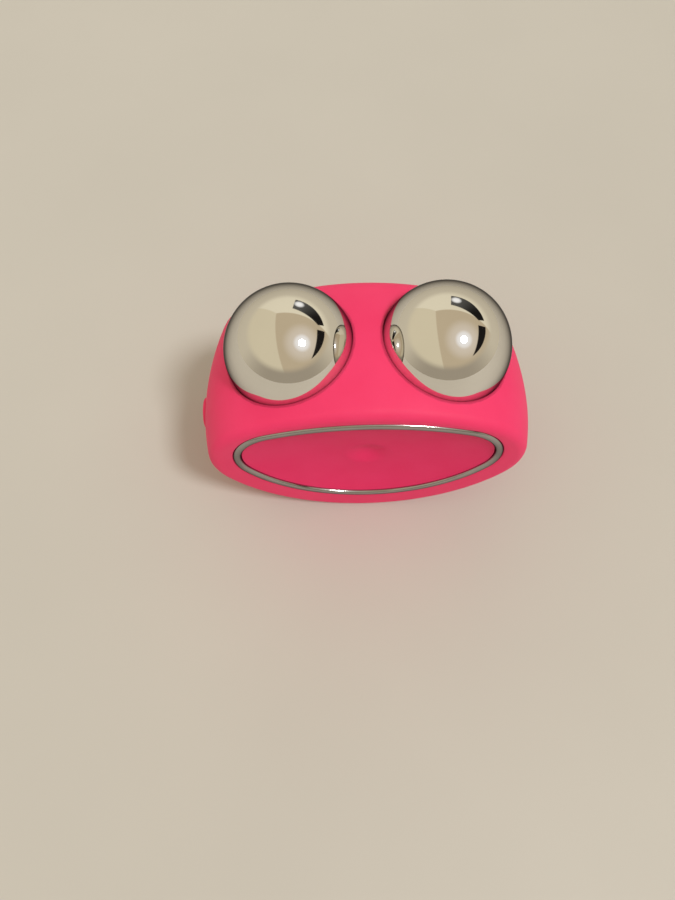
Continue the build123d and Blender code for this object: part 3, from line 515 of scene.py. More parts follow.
class Look(Enum):
    """Every finish on the device: name, two colours, patches in mm, roughness and its
    span, height and width of the relief in mm, and what the material adds."""

    # soft-touch moulded silicone: even and matt, with a faint glow under the skin
    SLEEVE = SleeveSilicone(
        "silicone_soft_touch", "F83A74", "FB4079", 9.0, 0.56, 0.08, 0.004, 0.3,
        ior=1.38, subsurface=0.08,
    )
    # the same silicone, painted a shade deeper: painted shade in the recessed dishes
    DISH = Finish(
        "silicone_pad_painted_shade", "EE306E", "F13573", 8.0, 0.58, 0.08, 0.004, 0.3,
        ior=1.36, subsurface=0.08,
    )
    # chrome on a buffed ball: a clear mirror that darkens at its edge
    CHROME = BallChrome(
        "chrome_mirror_plated", "EFECE7", "EAE7E2", 14.0, 0.02, 0.04, 0.0003, 2.0,
        metallic=1.0, edge="5C5C5E",
    )
    # chrome on a moulded ring with softer highlights; its base is painted greyer as a painted
    # reflection of dark surroundings
    TRIM = Finish(
        "chrome_trim_painted_dark", "ABAAA9", "B6B5B4", 6.0, 0.1, 0.05, 0.0005, 0.8,
        metallic=1.0, edge="5C5C5E",
    )
    # moulded ABS: low gloss from a fine eroded mould
    CASING = Finish("abs_moulded_white", "E3E2DE", "E8E7E4", 12.0, 0.42, 0.1, 0.004, 0.25, ior=1.53)
    # drawn steel under bright zinc: fine lines in a cool grey
    STEEL = Finish(
        "steel_zinc_plated", "A9ABAE", "B7B8B9", 2.5, 0.24, 0.12, 0.002, 0.25,
        metallic=1.0, grain=Grain.LINES,
    )
    # turned brass: warm, with the tool's rings
    BRASS = Finish(
        "brass_turned", "C9A45C", "D4B068", 3.0, 0.22, 0.12, 0.002, 0.2,
        metallic=1.0, grain=Grain.LINES,
    )
    # glass epoxy under green mask: the weave just shows through a clear coat
    BOARD = Finish(
        "glass_epoxy_green_mask", "1B5E33", "20693A", 3.5, 0.28, 0.12, 0.006, 0.6, coat=0.4
    )
    # transfer-moulded epoxy: dull black
    CHIP = Finish("epoxy_moulded_black", "1E1F21", "27282A", 1.5, 0.5, 0.12, 0.003, 0.12)
    # fired ceramic: tan and slightly waxy
    CERAMIC = Finish("ceramic_fired_tan", "A98A63", "B39570", 0.9, 0.45, 0.1, 0.003, 0.15)
    # cast clear epoxy: glassy, partly see-through
    LAMP = Finish(
        "epoxy_clear_lamp", "F1EED8", "F7F4E2", 0.6, 0.12, 0.06, 0.001, 0.3, transmission=0.35
    )
    # polished acrylic: clear as water
    CLEAR = Finish(
        "acrylic_light_guide", "EDF0F1", "F5F7F8", 4.0, 0.08, 0.05, 0.001, 0.4,
        transmission=0.85, ior=1.49,
    )
    # laminated foil pouch: bright, with shallow creases
    CELL = Finish(
        "foil_pouch_aluminium", "BFC2C6", "CBCED1", 5.0, 0.3, 0.14, 0.012, 0.7, metallic=1.0
    )
    # cut closed-cell foam: dull, pitted by its cells
    FOAM = Finish(
        "foam_closed_cell", "34343A", "3E3E44", 1.2, 0.85, 0.1, 0.05, 0.45,
        grain=Grain.CELLS, sheen=0.2,
    )
    # moulded rubber: soft black with a greyish bloom
    BOOT = Finish(
        "rubber_moulded_black", "232326", "2C2C2F", 4.0, 0.62, 0.14, 0.008, 0.3, sheen=0.1
    )
    # sintered tungsten: dark grey and grainy
    WEIGHT = Finish(
        "tungsten_sintered", "6F7073", "7C7C7E", 1.0, 0.42, 0.16, 0.008, 0.14, metallic=1.0
    )
    # moulded white silicone: milky, a little glossy
    SEAL = Finish("silicone_seal_white", "DCDCD6", "E6E5E0", 3.0, 0.4, 0.1, 0.004, 0.25, sheen=0.1)
    # extruded soft jacket: smooth red with a satin gloss
    WIRE_RED = Finish("insulation_soft_red", "B32420", "BD2C26", 2.0, 0.38, 0.1, 0.003, 0.2)
    # moulded nylon: satin black
    SOCKET = Finish("nylon_moulded_black", "161618", "1F1F21", 2.5, 0.34, 0.12, 0.003, 0.2)
    # moulded acetal: slippery off-white
    KNOB = Finish("acetal_natural_white", "E4E4E0", "ECECE8", 2.5, 0.3, 0.1, 0.002, 0.2, ior=1.48)

    @property
    def ready(self) -> bpy.types.Material:
        """The finish's material, built once."""
        known = bpy.data.materials.get(self.value.name)
        return known or self.value.material()


# ---- mesh by hand
def pick(*pieces: Piece) -> None:
    """Selects the given objects alone and makes the last one active.

    Args:
        pieces: the objects, or none to deselect everything.
    """
    bpy.ops.object.select_all(action="DESELECT")
    for piece in pieces:
        piece.select_set(True)
        bpy.context.view_layer.objects.active = piece


@contextmanager
def editing(action: str | None = "SELECT") -> Iterator[None]:
    """Edit mode on the active object, and object mode again at the end.

    Args:
        action: what is done to the selection first, if anything.
    """
    bpy.ops.object.mode_set(mode="EDIT")
    if action:
        bpy.ops.mesh.select_all(action=action)
    yield
    bpy.ops.object.mode_set(mode="OBJECT")


def in_metres(points: np.ndarray) -> np.ndarray:
    """Millimetres as the single-precision metres that a mesh keeps."""
    return (np.asarray(points, float) * MM).astype(np.float32)


def at_depth(points: np.ndarray, y: float | np.ndarray) -> np.ndarray:
    """Rows of x and z set at a depth y."""
    return np.column_stack([points[:, 0], np.broadcast_to(y, len(points)), points[:, 1]])


def between(first: np.ndarray, last: np.ndarray, steps: int) -> list[np.ndarray]:
    """Loops evenly spaced from one to another, both left out."""
    shares = [k / steps for k in range(1, steps)]
    return [first * (1 - share) + last * share for share in shares]


def arc(centre: tuple[float, float], radius: float, start: float, end: float, steps: int) -> Rows:
    """Points of an arc from one angle to another, both included."""
    angles = [start + (end - start) * k / steps for k in range(steps + 1)]
    return [(centre[0] + radius * cos(a), centre[1] + radius * sin(a)) for a in angles]


def chain(name: str, points: np.ndarray, closed: bool = True) -> Piece:
    """Adds a ring of joined points, opened at its end if asked.

    Args:
        name: the object's name.
        points: rows of x, y and z in millimetres.
        closed: whether the last point joins the first.

    Returns:
        The object, in object mode.
    """
    pick()
    bpy.ops.mesh.primitive_circle_add(vertices=len(points), radius=MM, fill_type="NOTHING")
    made = bpy.context.object
    made.name = made.data.name = name
    made.data.vertices.foreach_set("co", in_metres(points).ravel())
    made.data.update()
    if not closed:
        with editing("DESELECT"):
            cage = bmesh.from_edit_mesh(made.data)
            cage.verts.ensure_lookup_table()
            ends = {cage.verts[0], cage.verts[-1]}
            for edge in cage.edges:
                edge.select_set(set(edge.verts) == ends)
            bmesh.update_edit_mesh(made.data)
            bpy.ops.mesh.delete(type="EDGE")
    return made


def loft(name: str, loops: list[np.ndarray], closed: bool = False) -> Piece:
    """Skins a row of loops by extruding the first through all the others.

    Args:
        name: the object's name.
        loops: loops with equal numbers of points, in millimetres.
        closed: whether the last loop joins the first.

    Returns:
        The object, in object mode, with its last loop selected.
    """
    made = chain(name, loops[0])
    row = loops + [loops[0]] if closed else loops
    with editing():
        for before, after in zip(row, row[1:]):
            bpy.ops.mesh.extrude_edges_indiv()
            cage = bmesh.from_edit_mesh(made.data)
            places = dict(zip(map(tuple, in_metres(before).tolist()), in_metres(after)))
            for vertex in cage.verts:
                if vertex.select:
                    vertex.co = places[tuple(vertex.co)]
            bmesh.update_edit_mesh(made.data)
    return made


def tidy(made: Piece, angle: float = 35.0) -> Piece:
    """Merges doubles, turns faces outwards and smooths all but sharp edges.

    Args:
        made: the object.
        angle: edges sharper than this many degrees stay sharp.

    Returns:
        The same object.
    """
    pick(made)
    with editing():
        bpy.ops.mesh.remove_doubles(threshold=SAME_POINT * MM)
        bpy.ops.mesh.normals_make_consistent(inside=False)
    bpy.ops.object.shade_smooth_by_angle(angle=radians(angle))
    return made


def turned(
    name: str, profile: Rows, steps: int, place: tuple, tilt: float = 0.0, closed: bool = False
) -> Piece:
    """Spins a profile round the Z axis and sets the piece in place.

    Args:
        name: the object's name.
        profile: rows of radius and level, in millimetres.
        steps: steps of the full turn.
        place: where its own origin goes, in millimetres.
        tilt: how far it is then turned about Y.
        closed: whether the profile is a closed loop.

    Returns:
        The object, with its place in its mesh.
    """
    made = chain(name, np.array([(radius, 0.0, level) for radius, level in profile]), closed)
    with editing():
        bpy.ops.mesh.spin(steps=steps, angle=2 * pi, center=(0, 0, 0), axis=(0, 0, 1))
    made.matrix_world = Matrix.Translation([c * MM for c in place]) @ Matrix.Rotation(tilt, 4, "Y")
    bpy.ops.object.transform_apply(location=True, rotation=True, scale=True)
    return tidy(made)


def cut(made: Piece, tools: list[Piece]) -> None:
    """Cuts tools out of a piece and removes them.

    Args:
        made: the object that is cut.
        tools: the cutting objects.
    """
    for tool in tools:
        pick(made)
        modifier = made.modifiers.new("cut", "BOOLEAN")
        modifier.operation = "DIFFERENCE"
        modifier.solver = "EXACT"
        modifier.object = tool
        bpy.ops.object.modifier_apply(modifier=modifier.name)
        bpy.data.objects.remove(tool)


def settle(made: Piece, look: Look, replaced: str, body: str | None = DEVICE) -> Piece:
    """Dresses a finished piece and ties it to the frame.

    Args:
        made: the piece.
        look: its finish.
        replaced: the CAD node that it stands for.
        body: the CAD body it rides on, or none to leave it free.

    Returns:
        The piece.
    """
    made.data.materials.clear()
    made.data.materials.append(look.ready)
    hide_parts(replaced)
    if body:
        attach(made, body)
    return made


# ---- sleeve
def shrink(y: float) -> tuple[float, float]:
    """How far the body's outline has shrunk at a depth, and how fast it does so there.

    Args:
        y: the depth.

    Returns:
        The inset and its slope.
    """
    front, rear = (FRONT_DRAW, HALF_DEPTH + WIDEST_Y), (REAR_DRAW, HALF_DEPTH - WIDEST_Y)
    most, span = front if y < WIDEST_Y else rear
    share = (y - WIDEST_Y) / span
    return most * share**2, 2 * most * share / span


@dataclass
class Sleeve:
    """One-piece silicone skin, open at the balls, the dished pads and the socket.

    Steps in pairs are those along a side and round its edge, or along a profile and
    round its turn.
    """

    around: int = 256
    outer_steps: tuple = (34, 8)
    inner_steps: tuple = (16, 4)
    front_steps: int = 4
    rear_steps: int = 6
    back_steps: int = 3
    front_edge: float = 2.2
    rear_edge: float = 4.0
    window_gap: float = 0.05
    window_edge: float = 0.22
    window_steps: int = 3
    mouth_gap: float = 0.03
    mouth_steps: tuple = (80, 160)
    lip_radius: float = 0.17
    lip_proud: float = 0.07
    lip_points: int = 180
    lip_steps: int = 3
    lip_between: tuple = (-0.6, 1.2)
    lip_waver: float = 0.03
    lip_waves: tuple = ((7, 1, 1.0), (17, 2, 0.6), (31, 0, 0.5))
    lip_sharp: float = 60.0
    port_radius: float = 3.3
    port_reach: tuple = (-3.0, 5.0)
    foot_touch: float = 0.00001

    def edge_round(self, face: int, inset: float, radius: float, steps: int) -> Rows:
        """The round between the side and a face, from the face to the side.

        Args:
            face: -1 for the front, 1 for the rear.
            inset: how far inside the outer form the surface lies.
            radius: the round's radius.
            steps: number of steps.

        Returns:
            Rows of inset and depth.
        """
        centre_y = face * (HALF_DEPTH - inset - radius)
        touch = centre_y
        for _ in range(TOUCH_ROUNDS):
            slope = shrink(touch)[1]
            touch = centre_y + radius * slope / sqrt(1 + slope**2)
        drawn, slope = shrink(touch)
        centre = (inset + drawn + radius / sqrt(1 + slope**2), centre_y)
        return arc(centre, radius, face * pi / 2, atan2(slope, -1.0), steps)

    def section(self, inset: float, steps: int, rounds: int) -> Rows:
        """The side and both its rounds, from the front face to the rear one.

        Args:
            inset: how far inside the outer form the surface lies.
            steps: steps along the side.
            rounds: steps of each round.

        Returns:
            Rows of inset and depth.
        """
        start = self.edge_round(-1, inset, self.front_edge - inset, rounds)
        end = self.edge_round(1, inset, self.rear_edge - inset, rounds)[::-1]
        low, high = start[-1][1], end[0][1]
        depths = [low + (high - low) * k / steps for k in range(1, steps)]
        return start + [(inset + shrink(y)[0], y) for y in depths] + end

    def end_loops(self, face: int, sides: tuple, steps: int) -> tuple[list, list]:
        """Loops of one end, each run from its window outwards.

        Args:
            face: -1 for the front, 1 for the rear.
            sides: the side's outer and inner loops next to this end.
            steps: steps across the face.

        Returns:
            Loops up the window and across the face, and those across its back.
        """
        window, normal = RINGS[face].inset(-RING_HALF - self.window_gap).walk(self.around)
        foot, top, edge = face * (HALF_DEPTH - SKIN_WALL), face * HALF_DEPTH, self.window_edge
        rows = [(0.0, foot), (0.0, (foot + top) / 2)]
        rows += arc((-edge, top - face * edge), edge, 0.0, face * pi / 2, self.window_steps)
        outer = [at_depth(window - normal * d, y) for d, y in rows]
        plans = between(window + normal * edge, sides[0][:, ::2], steps)
        outer += [at_depth(plan, top) for plan in plans]
        plans = between(window, sides[1][:, ::2], self.back_steps)
        return outer, [at_depth(plan, foot) for plan in plans]

    def body_loops(self) -> list[np.ndarray]:
        """Every loop of the closed sleeve, outside from front to rear and back inside.

        Returns:
            The loops.
        """
        body, normal = BODY.walk(self.around)
        runs = self.section(0.0, *self.outer_steps), self.section(SKIN_WALL, *self.inner_steps)
        outside, inside = ([at_depth(body - normal * d, y) for d, y in run] for run in runs)
        for loop in inside:
            loop[:, 2] = np.maximum(loop[:, 2], SKIN_WALL)
        front, front_back = self.end_loops(-1, (outside[0], inside[0]), self.front_steps)
        rear, rear_back = self.end_loops(1, (outside[-1], inside[-1]), self.rear_steps)
        return front + outside + rear[::-1] + rear_back + inside[::-1] + front_back[::-1]

    def outside(self, point: Vector) -> float:
        """Distance of a point outside the sleeve's outer form, negative inside.

        Args:
            point: the point, in millimetres.

        Returns:
            The signed distance.
        """
        gap = BODY.signed(point.x, point.z) + shrink(point.y)[0]
        for face, radius in ((-1, self.front_edge), (1, self.rear_edge)):
            over = face * point.y - (HALF_DEPTH - radius)
            if over > 0 and gap + radius > 0:
                return hypot(gap + radius, over) - radius
        return gap

    def lip_path(self, side: int, radius: float, sink: float) -> list[Vector]:
        """The line where a sphere round a ball's centre meets the sleeve.

        Args:
            side: -1 for the left ball, 1 for the right.
            radius: the sphere's radius.
            sink: how far below the surface the line runs.

        Returns:
            Points in millimetres.
        """
        centre = Vector((side * BALL_X, 0.0, BALL_Z))
        axis = Vector((side * sin(BALL_TILT), 0.0, cos(BALL_TILT)))
        across = Vector((cos(BALL_TILT), 0.0, -side * sin(BALL_TILT)))
        deep = Vector((0.0, 1.0, 0.0))
        path = []
        for k in range(self.lip_points):
            turn = 2 * pi * k / self.lip_points
            flat = across * cos(turn) + deep * sin(turn)
            low, high = self.lip_between
            for _ in range(LIP_HALVINGS):
                trial = (low + high) / 2
                point = centre + (flat * cos(trial) + axis * sin(trial)) * radius
                low, high = (trial, high) if self.outside(point) < -sink else (low, trial)
            path.append(centre + (flat * cos(low) + axis * sin(low)) * radius)
        return path

    def lip(self, side: int) -> Piece:
        """Small rounded lip along one ball's mouth, a little uneven.

        Args:
            side: -1 for the left ball, 1 for the right.

        Returns:
            The lip as a mesh.
        """
        radius = BALL_RADIUS + self.mouth_gap + self.lip_radius
        path = self.lip_path(side, radius, self.lip_radius - self.lip_proud)
        pick()
        bpy.ops.curve.primitive_bezier_circle_add(radius=MM)
        made = bpy.context.object
        made.name = f"lip_{side}"
        curve = made.data
        curve.splines.clear()
        spline = curve.splines.new("POLY")
        spline.points.add(len(path) - 1)
        for k, (point, place) in enumerate(zip(spline.points, path)):
            turn = 2 * pi * k / len(path)
            waver = sum(part * sin(n * turn + shift * side) for n, shift, part in self.lip_waves)
            point.co = (*(place * MM), 1.0)
            point.radius = 1.0 + self.lip_waver * waver
        spline.use_cyclic_u = True
        curve.dimensions = "3D"
        curve.bevel_depth = self.lip_radius * MM
        curve.bevel_resolution = self.lip_steps
        bpy.ops.object.convert(target="MESH")
        return tidy(made, self.lip_sharp)

    def tools(self) -> list[Piece]:
        """Round cutters for both mouths and for the port.

        Returns:
            The cutters.
        """
        steps, turns = self.mouth_steps
        mouth = arc((0.0, 0.0), BALL_RADIUS + self.mouth_gap, -pi / 2, pi / 2, steps)
        tools = []
        for side in SIDES:
            tools.append(turned(f"mouth_{side}", mouth, turns, (side * BALL_X, 0.0, BALL_Z)))
        start, end = (reach - BODY.half_width for reach in self.port_reach)
        port = [(0.0, start), (self.port_radius, start), (self.port_radius, end), (0.0, end)]
        tools.append(turned("port_hole", port, PORT_STEPS, SOCKET_PLACE, pi / 2))
        return tools

    def build(self) -> Iterator[Piece]:
        """Builds the sleeve, its mouths and its lips."""
        made = tidy(loft("silicone_sleeve", self.body_loops(), closed=True))
        foot = {"plane_co": (0, 0, 0), "plane_no": (0, 0, 1), "use_fill": True, "clear_inner": True}
        with editing():
            bpy.ops.mesh.bisect(threshold=self.foot_touch * MM, **foot)
        cut(made, self.tools())
        lips = [self.lip(side) for side in SIDES]
        pick(*lips, tidy(made))
        bpy.ops.object.join()
        yield settle(made, Look.SLEEVE, "silicone_skin")


# ---- balls
@dataclass
class Balls:
    """Pair of hollow mirror-plated electrode balls."""

    wall: float = 1.0
    foot: float = -12.0
    hole: float = 2.6
    outer_steps: int = 110
    inner_steps: int = 40
    turn_steps: int = 192

    def profile(self) -> Rows:
        """Run round the ball's wall, from its top outside to its top inside.

        Returns:
            Rows of radius and level.
        """
        inside = BALL_RADIUS - self.wall
        rows = arc((0.0, 0.0), BALL_RADIUS, pi / 2, asin(self.foot / BALL_RADIUS), self.outer_steps)
        rows[0] = (0.0, BALL_RADIUS)
        back = arc((0.0, 0.0), inside, -acos(self.hole / inside), pi / 2, self.inner_steps)
        back[-1] = (0.0, inside)
        return [*rows, (self.hole, self.foot), *back]

    def build(self) -> Iterator[Piece]:
        """Builds both balls in place."""
        for side, name in SIDES.items():
            place, tilt = (side * BALL_X, 0.0, BALL_Z), side * BALL_TILT
            label = f"electrode_ball_{name}"
            made = turned(label, self.profile(), self.turn_steps, place, tilt)
            yield settle(made, Look.CHROME, f"{name}_ball")


# ---- rims
@dataclass
class Rims:
    """Polished trim rings round both dished pads."""

    around: int = 256
    proud: float = 0.35
    edge: float = 0.62
    edge_steps: int = 9

    def profile(self) -> Rows:
        """Section of a ring, from its outer foot over the crown to its inner foot.

        Returns:
            Rows of inset and depth.
        """
        flat, level = RING_HALF - self.edge, HALF_DEPTH + self.proud - self.edge
        rows = [(-RING_HALF, HALF_DEPTH - SKIN_WALL)]
        rows += arc((-flat, level), self.edge, pi, pi / 2, self.edge_steps)
        rows += arc((flat, level), self.edge, pi / 2, 0.0, self.edge_steps)
        return [*rows, (RING_HALF, HALF_DEPTH - SKIN_WALL)]

    def build(self) -> Iterator[Piece]:
        """Builds both rings."""
        for face, name in FACES.items():
            line, normal = RINGS[face].walk(self.around)
            loops = [at_depth(line - normal * d, face * y) for d, y in self.profile()]
            made = tidy(loft(f"trim_ring_{name}", loops, closed=True))
            yield settle(made, Look.TRIM, f"{name}_trim_ring")


# ---- pads
@dataclass
class Pads:
    """Dished silicone pads and the button under the front one's middle.

    The cap is tied to no body; the two depths of its give are worked out but not used.
    """

    around: int = 240
    rim_drop: float = 0.35
    bowl: float = 2.2
    shelf: float = 2.3
    shelf_width: float = 4.8
    floor: float = 3.7
    fit: float = 0.05
    bevel_width: float = 0.06
    bevel_drop: float = 0.1
    dimple: float = 0.9
    dimple_radius: float = 4.7
    seam: float = 0.008
    cap_skirt: float = 0.4
    cap_give: tuple = (2.4, 3.1)
    front_steps: int = 30
    rear_steps: int = 28
    cap_steps: int = 24
    sharp: float = 40.0

    def depth(self, face: int, x: float, z: float) -> float:
        """Depth of a bowl's surface below the face.

        Args:
            face: -1 for the front, which has the button's dimple, 1 for the rear.
            x: place across.
            z: level.

        Returns:
            The depth in millimetres.
        """
        share = min(RINGS[face].inset(RING_HALF).share(x, z), 1.0)
        deep = self.rim_drop + self.bowl * (1 - share**2)
        away = hypot(x, z - BUTTON_Z)
        if face < 0 and away < self.dimple_radius:
            deep += self.dimple * (1 + cos(pi * away / self.dimple_radius)) / 2
        return deep

    def drape(self, face: int, plans: list[np.ndarray]) -> list[np.ndarray]:
        """Lays loops on a pad's bowl.

        Args:
            face: -1 for the front, 1 for the rear.
            plans: the loops as rows of x and z.

        Returns:
            The loops in space.
        """
        loops = []
        for plan in plans:
            deep = np.array([self.depth(face, x, z) for x, z in plan])
            loops.append(at_depth(plan, face * (HALF_DEPTH - deep)))
        return loops

    def rim(self, face: int) -> tuple[list[np.ndarray], np.ndarray]:
        """Loops of a pad from its back edge out to its rim.

        Args:
            face: -1 for the front, 1 for the rear.

        Returns:
            The loops, and the rim's plan.
        """
        line, normal = RINGS[face].walk(self.around)
        edge = RING_HALF + self.fit
        rows = [
            (edge + self.shelf_width, self.floor),
            (edge + self.shelf_width, self.shelf),
            (edge, self.shelf),
            (edge, self.rim_drop + self.bevel_drop),
            (edge + self.bevel_width, self.rim_drop),
        ]
        loops = [at_depth(line - normal * d, face * (HALF_DEPTH - deep)) for d, deep in rows]
        return loops, line - normal * rows[-1][0]

    def circle(self, radius: float) -> np.ndarray:
        """Plan of a circle round the button's middle."""
        turn = np.arange(self.around) * 2 * pi / self.around
        return np.column_stack([np.sin(turn), np.cos(turn)]) * radius + (0, BUTTON_Z)

    def filled(self, name: str, loops: list[np.ndarray]) -> Piece:
        """Skins loops and closes both the last one and the first.

        Args:
            name: the object's name.
            loops: the loops, from the back to the middle of the front.

        Returns:
            The closed piece.
        """
        made = loft(name, loops)
        with editing(None):
            bpy.ops.mesh.merge(type="CENTER")
        with editing("DESELECT"):
            bpy.ops.mesh.select_mode(type="EDGE")
            bpy.ops.mesh.select_non_manifold(extend=False)
            bpy.ops.mesh.edge_face_add()
            bpy.ops.mesh.select_mode(type="VERT")
        return tidy(made, self.sharp)

    def front(self) -> Iterator[Piece]:
        """Front pad with the round hole for the button's cap."""
        hole = self.circle(BUTTON_RADIUS)
        edge, rim = self.rim(-1)
        bowl = self.drape(-1, [*between(rim, hole, self.front_steps), hole])
        loops = [at_depth(hole, -(HALF_DEPTH - self.floor)), *edge, *bowl]
        made = tidy(loft("front_dish_pad", loops, closed=True), self.sharp)
        yield settle(made, Look.DISH, "front_dish")

    def rear(self) -> Iterator[Piece]:
        """Rear pad, plain."""
        edge, rim = self.rim(1)
        bowl = self.drape(1, between(rim, np.array([0.0, REAR_RING.middle]), self.rear_steps))
        made = self.filled("rear_dish_pad", edge + bowl)
        yield settle(made, Look.DISH, "rear_dish")

    def cap(self) -> Iterator[Piece]:
        """Middle of the front pad, which gives under a fingertip."""
        edge = self.circle(BUTTON_RADIUS - self.seam)
        back = -(HALF_DEPTH - self.floor)
        loops = [at_depth(edge, back), at_depth(edge, back - self.cap_skirt)]
        bowl = [edge, *between(edge, np.array([0.0, BUTTON_Z]), self.cap_steps)]
        made = self.filled("button_cap_pad", loops + self.drape(-1, bowl))
        settle(made, Look.DISH, "button_cap", None)
        start, end = ((HALF_DEPTH - depth) * MM for depth in self.cap_give)
        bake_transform(made)
        yield made

    def build(self) -> Iterator[Piece]:
        """Builds both pads and the button's cap."""
        for part in (self.front, self.rear, self.cap):
            yield from part()


# ---- port
@dataclass
class Port:
    """Soft lip round the charging socket."""

    radius: float = 3.3
    proud: float = 33.12
    back: float = 29.4
    mouth: float = 1.6
    step: float = 31.9
    nose: float = 2.2
    edge: float = 0.6
    edge_steps: int = 5
    mouth_edge: float = 0.25
    mouth_steps: int = 4

    def build(self) -> Iterator[Piece]:
        """Builds the lip."""
        outer, inner = self.edge, self.mouth_edge
        rows = [(self.nose, self.back), (self.radius, self.back)]
        rows += arc((self.radius - outer, self.proud - outer), outer, 0.0, pi / 2, self.edge_steps)
        rows += arc((self.mouth + inner, self.proud - inner), inner, pi / 2, pi, self.mouth_steps)
        rows += [(self.mouth, self.step), (self.nose, self.step)]
        made = turned("port_lip", rows, PORT_STEPS, SOCKET_PLACE, -pi / 2, closed=True)
        yield settle(made, Look.SLEEVE, "socket_grommet")


# ---- inside
class Inside:
    """Finishes of the parts inside, which keep their own shapes."""

    looks: dict[Look, str] = {
        Look.CASING: "front_casing rear_casing ball_bridge",
        Look.STEEL: "casing_screws board_screws left_ball_screw right_ball_screw "
        "motor_can motor_shaft",
        Look.BRASS: "left_ball_insert right_ball_insert left_terminal_tag "
        "right_terminal_tag motor_bush",
        Look.BOARD: "main_board",
        Look.CHIP: "tact_switch controller_chip boost_inductor",
        Look.CERAMIC: "storage_capacitor",
        Look.LAMP: "status_leds",
        Look.CLEAR: "light_guide",
        Look.CELL: "battery_cell",
        Look.FOAM: "battery_foam",
        Look.BOOT: "motor_boot",
        Look.WEIGHT: "eccentric_weight",
        Look.SEAL: "left_ball_seal right_ball_seal",
        Look.WIRE_RED: "battery_leads motor_leads socket_leads "
        "left_electrode_lead right_electrode_lead",
        Look.SOCKET: "charging_socket",
        Look.KNOB: "button_plunger switch_stem",
    }

    def build(self) -> Iterator[Piece]:
        """Gives every carried-over node its finish."""
        for look, names in self.looks.items():
            for name in names.split():
                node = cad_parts[name]
                node.data.materials.clear()
                node.data.materials.append(look.ready)
                yield node


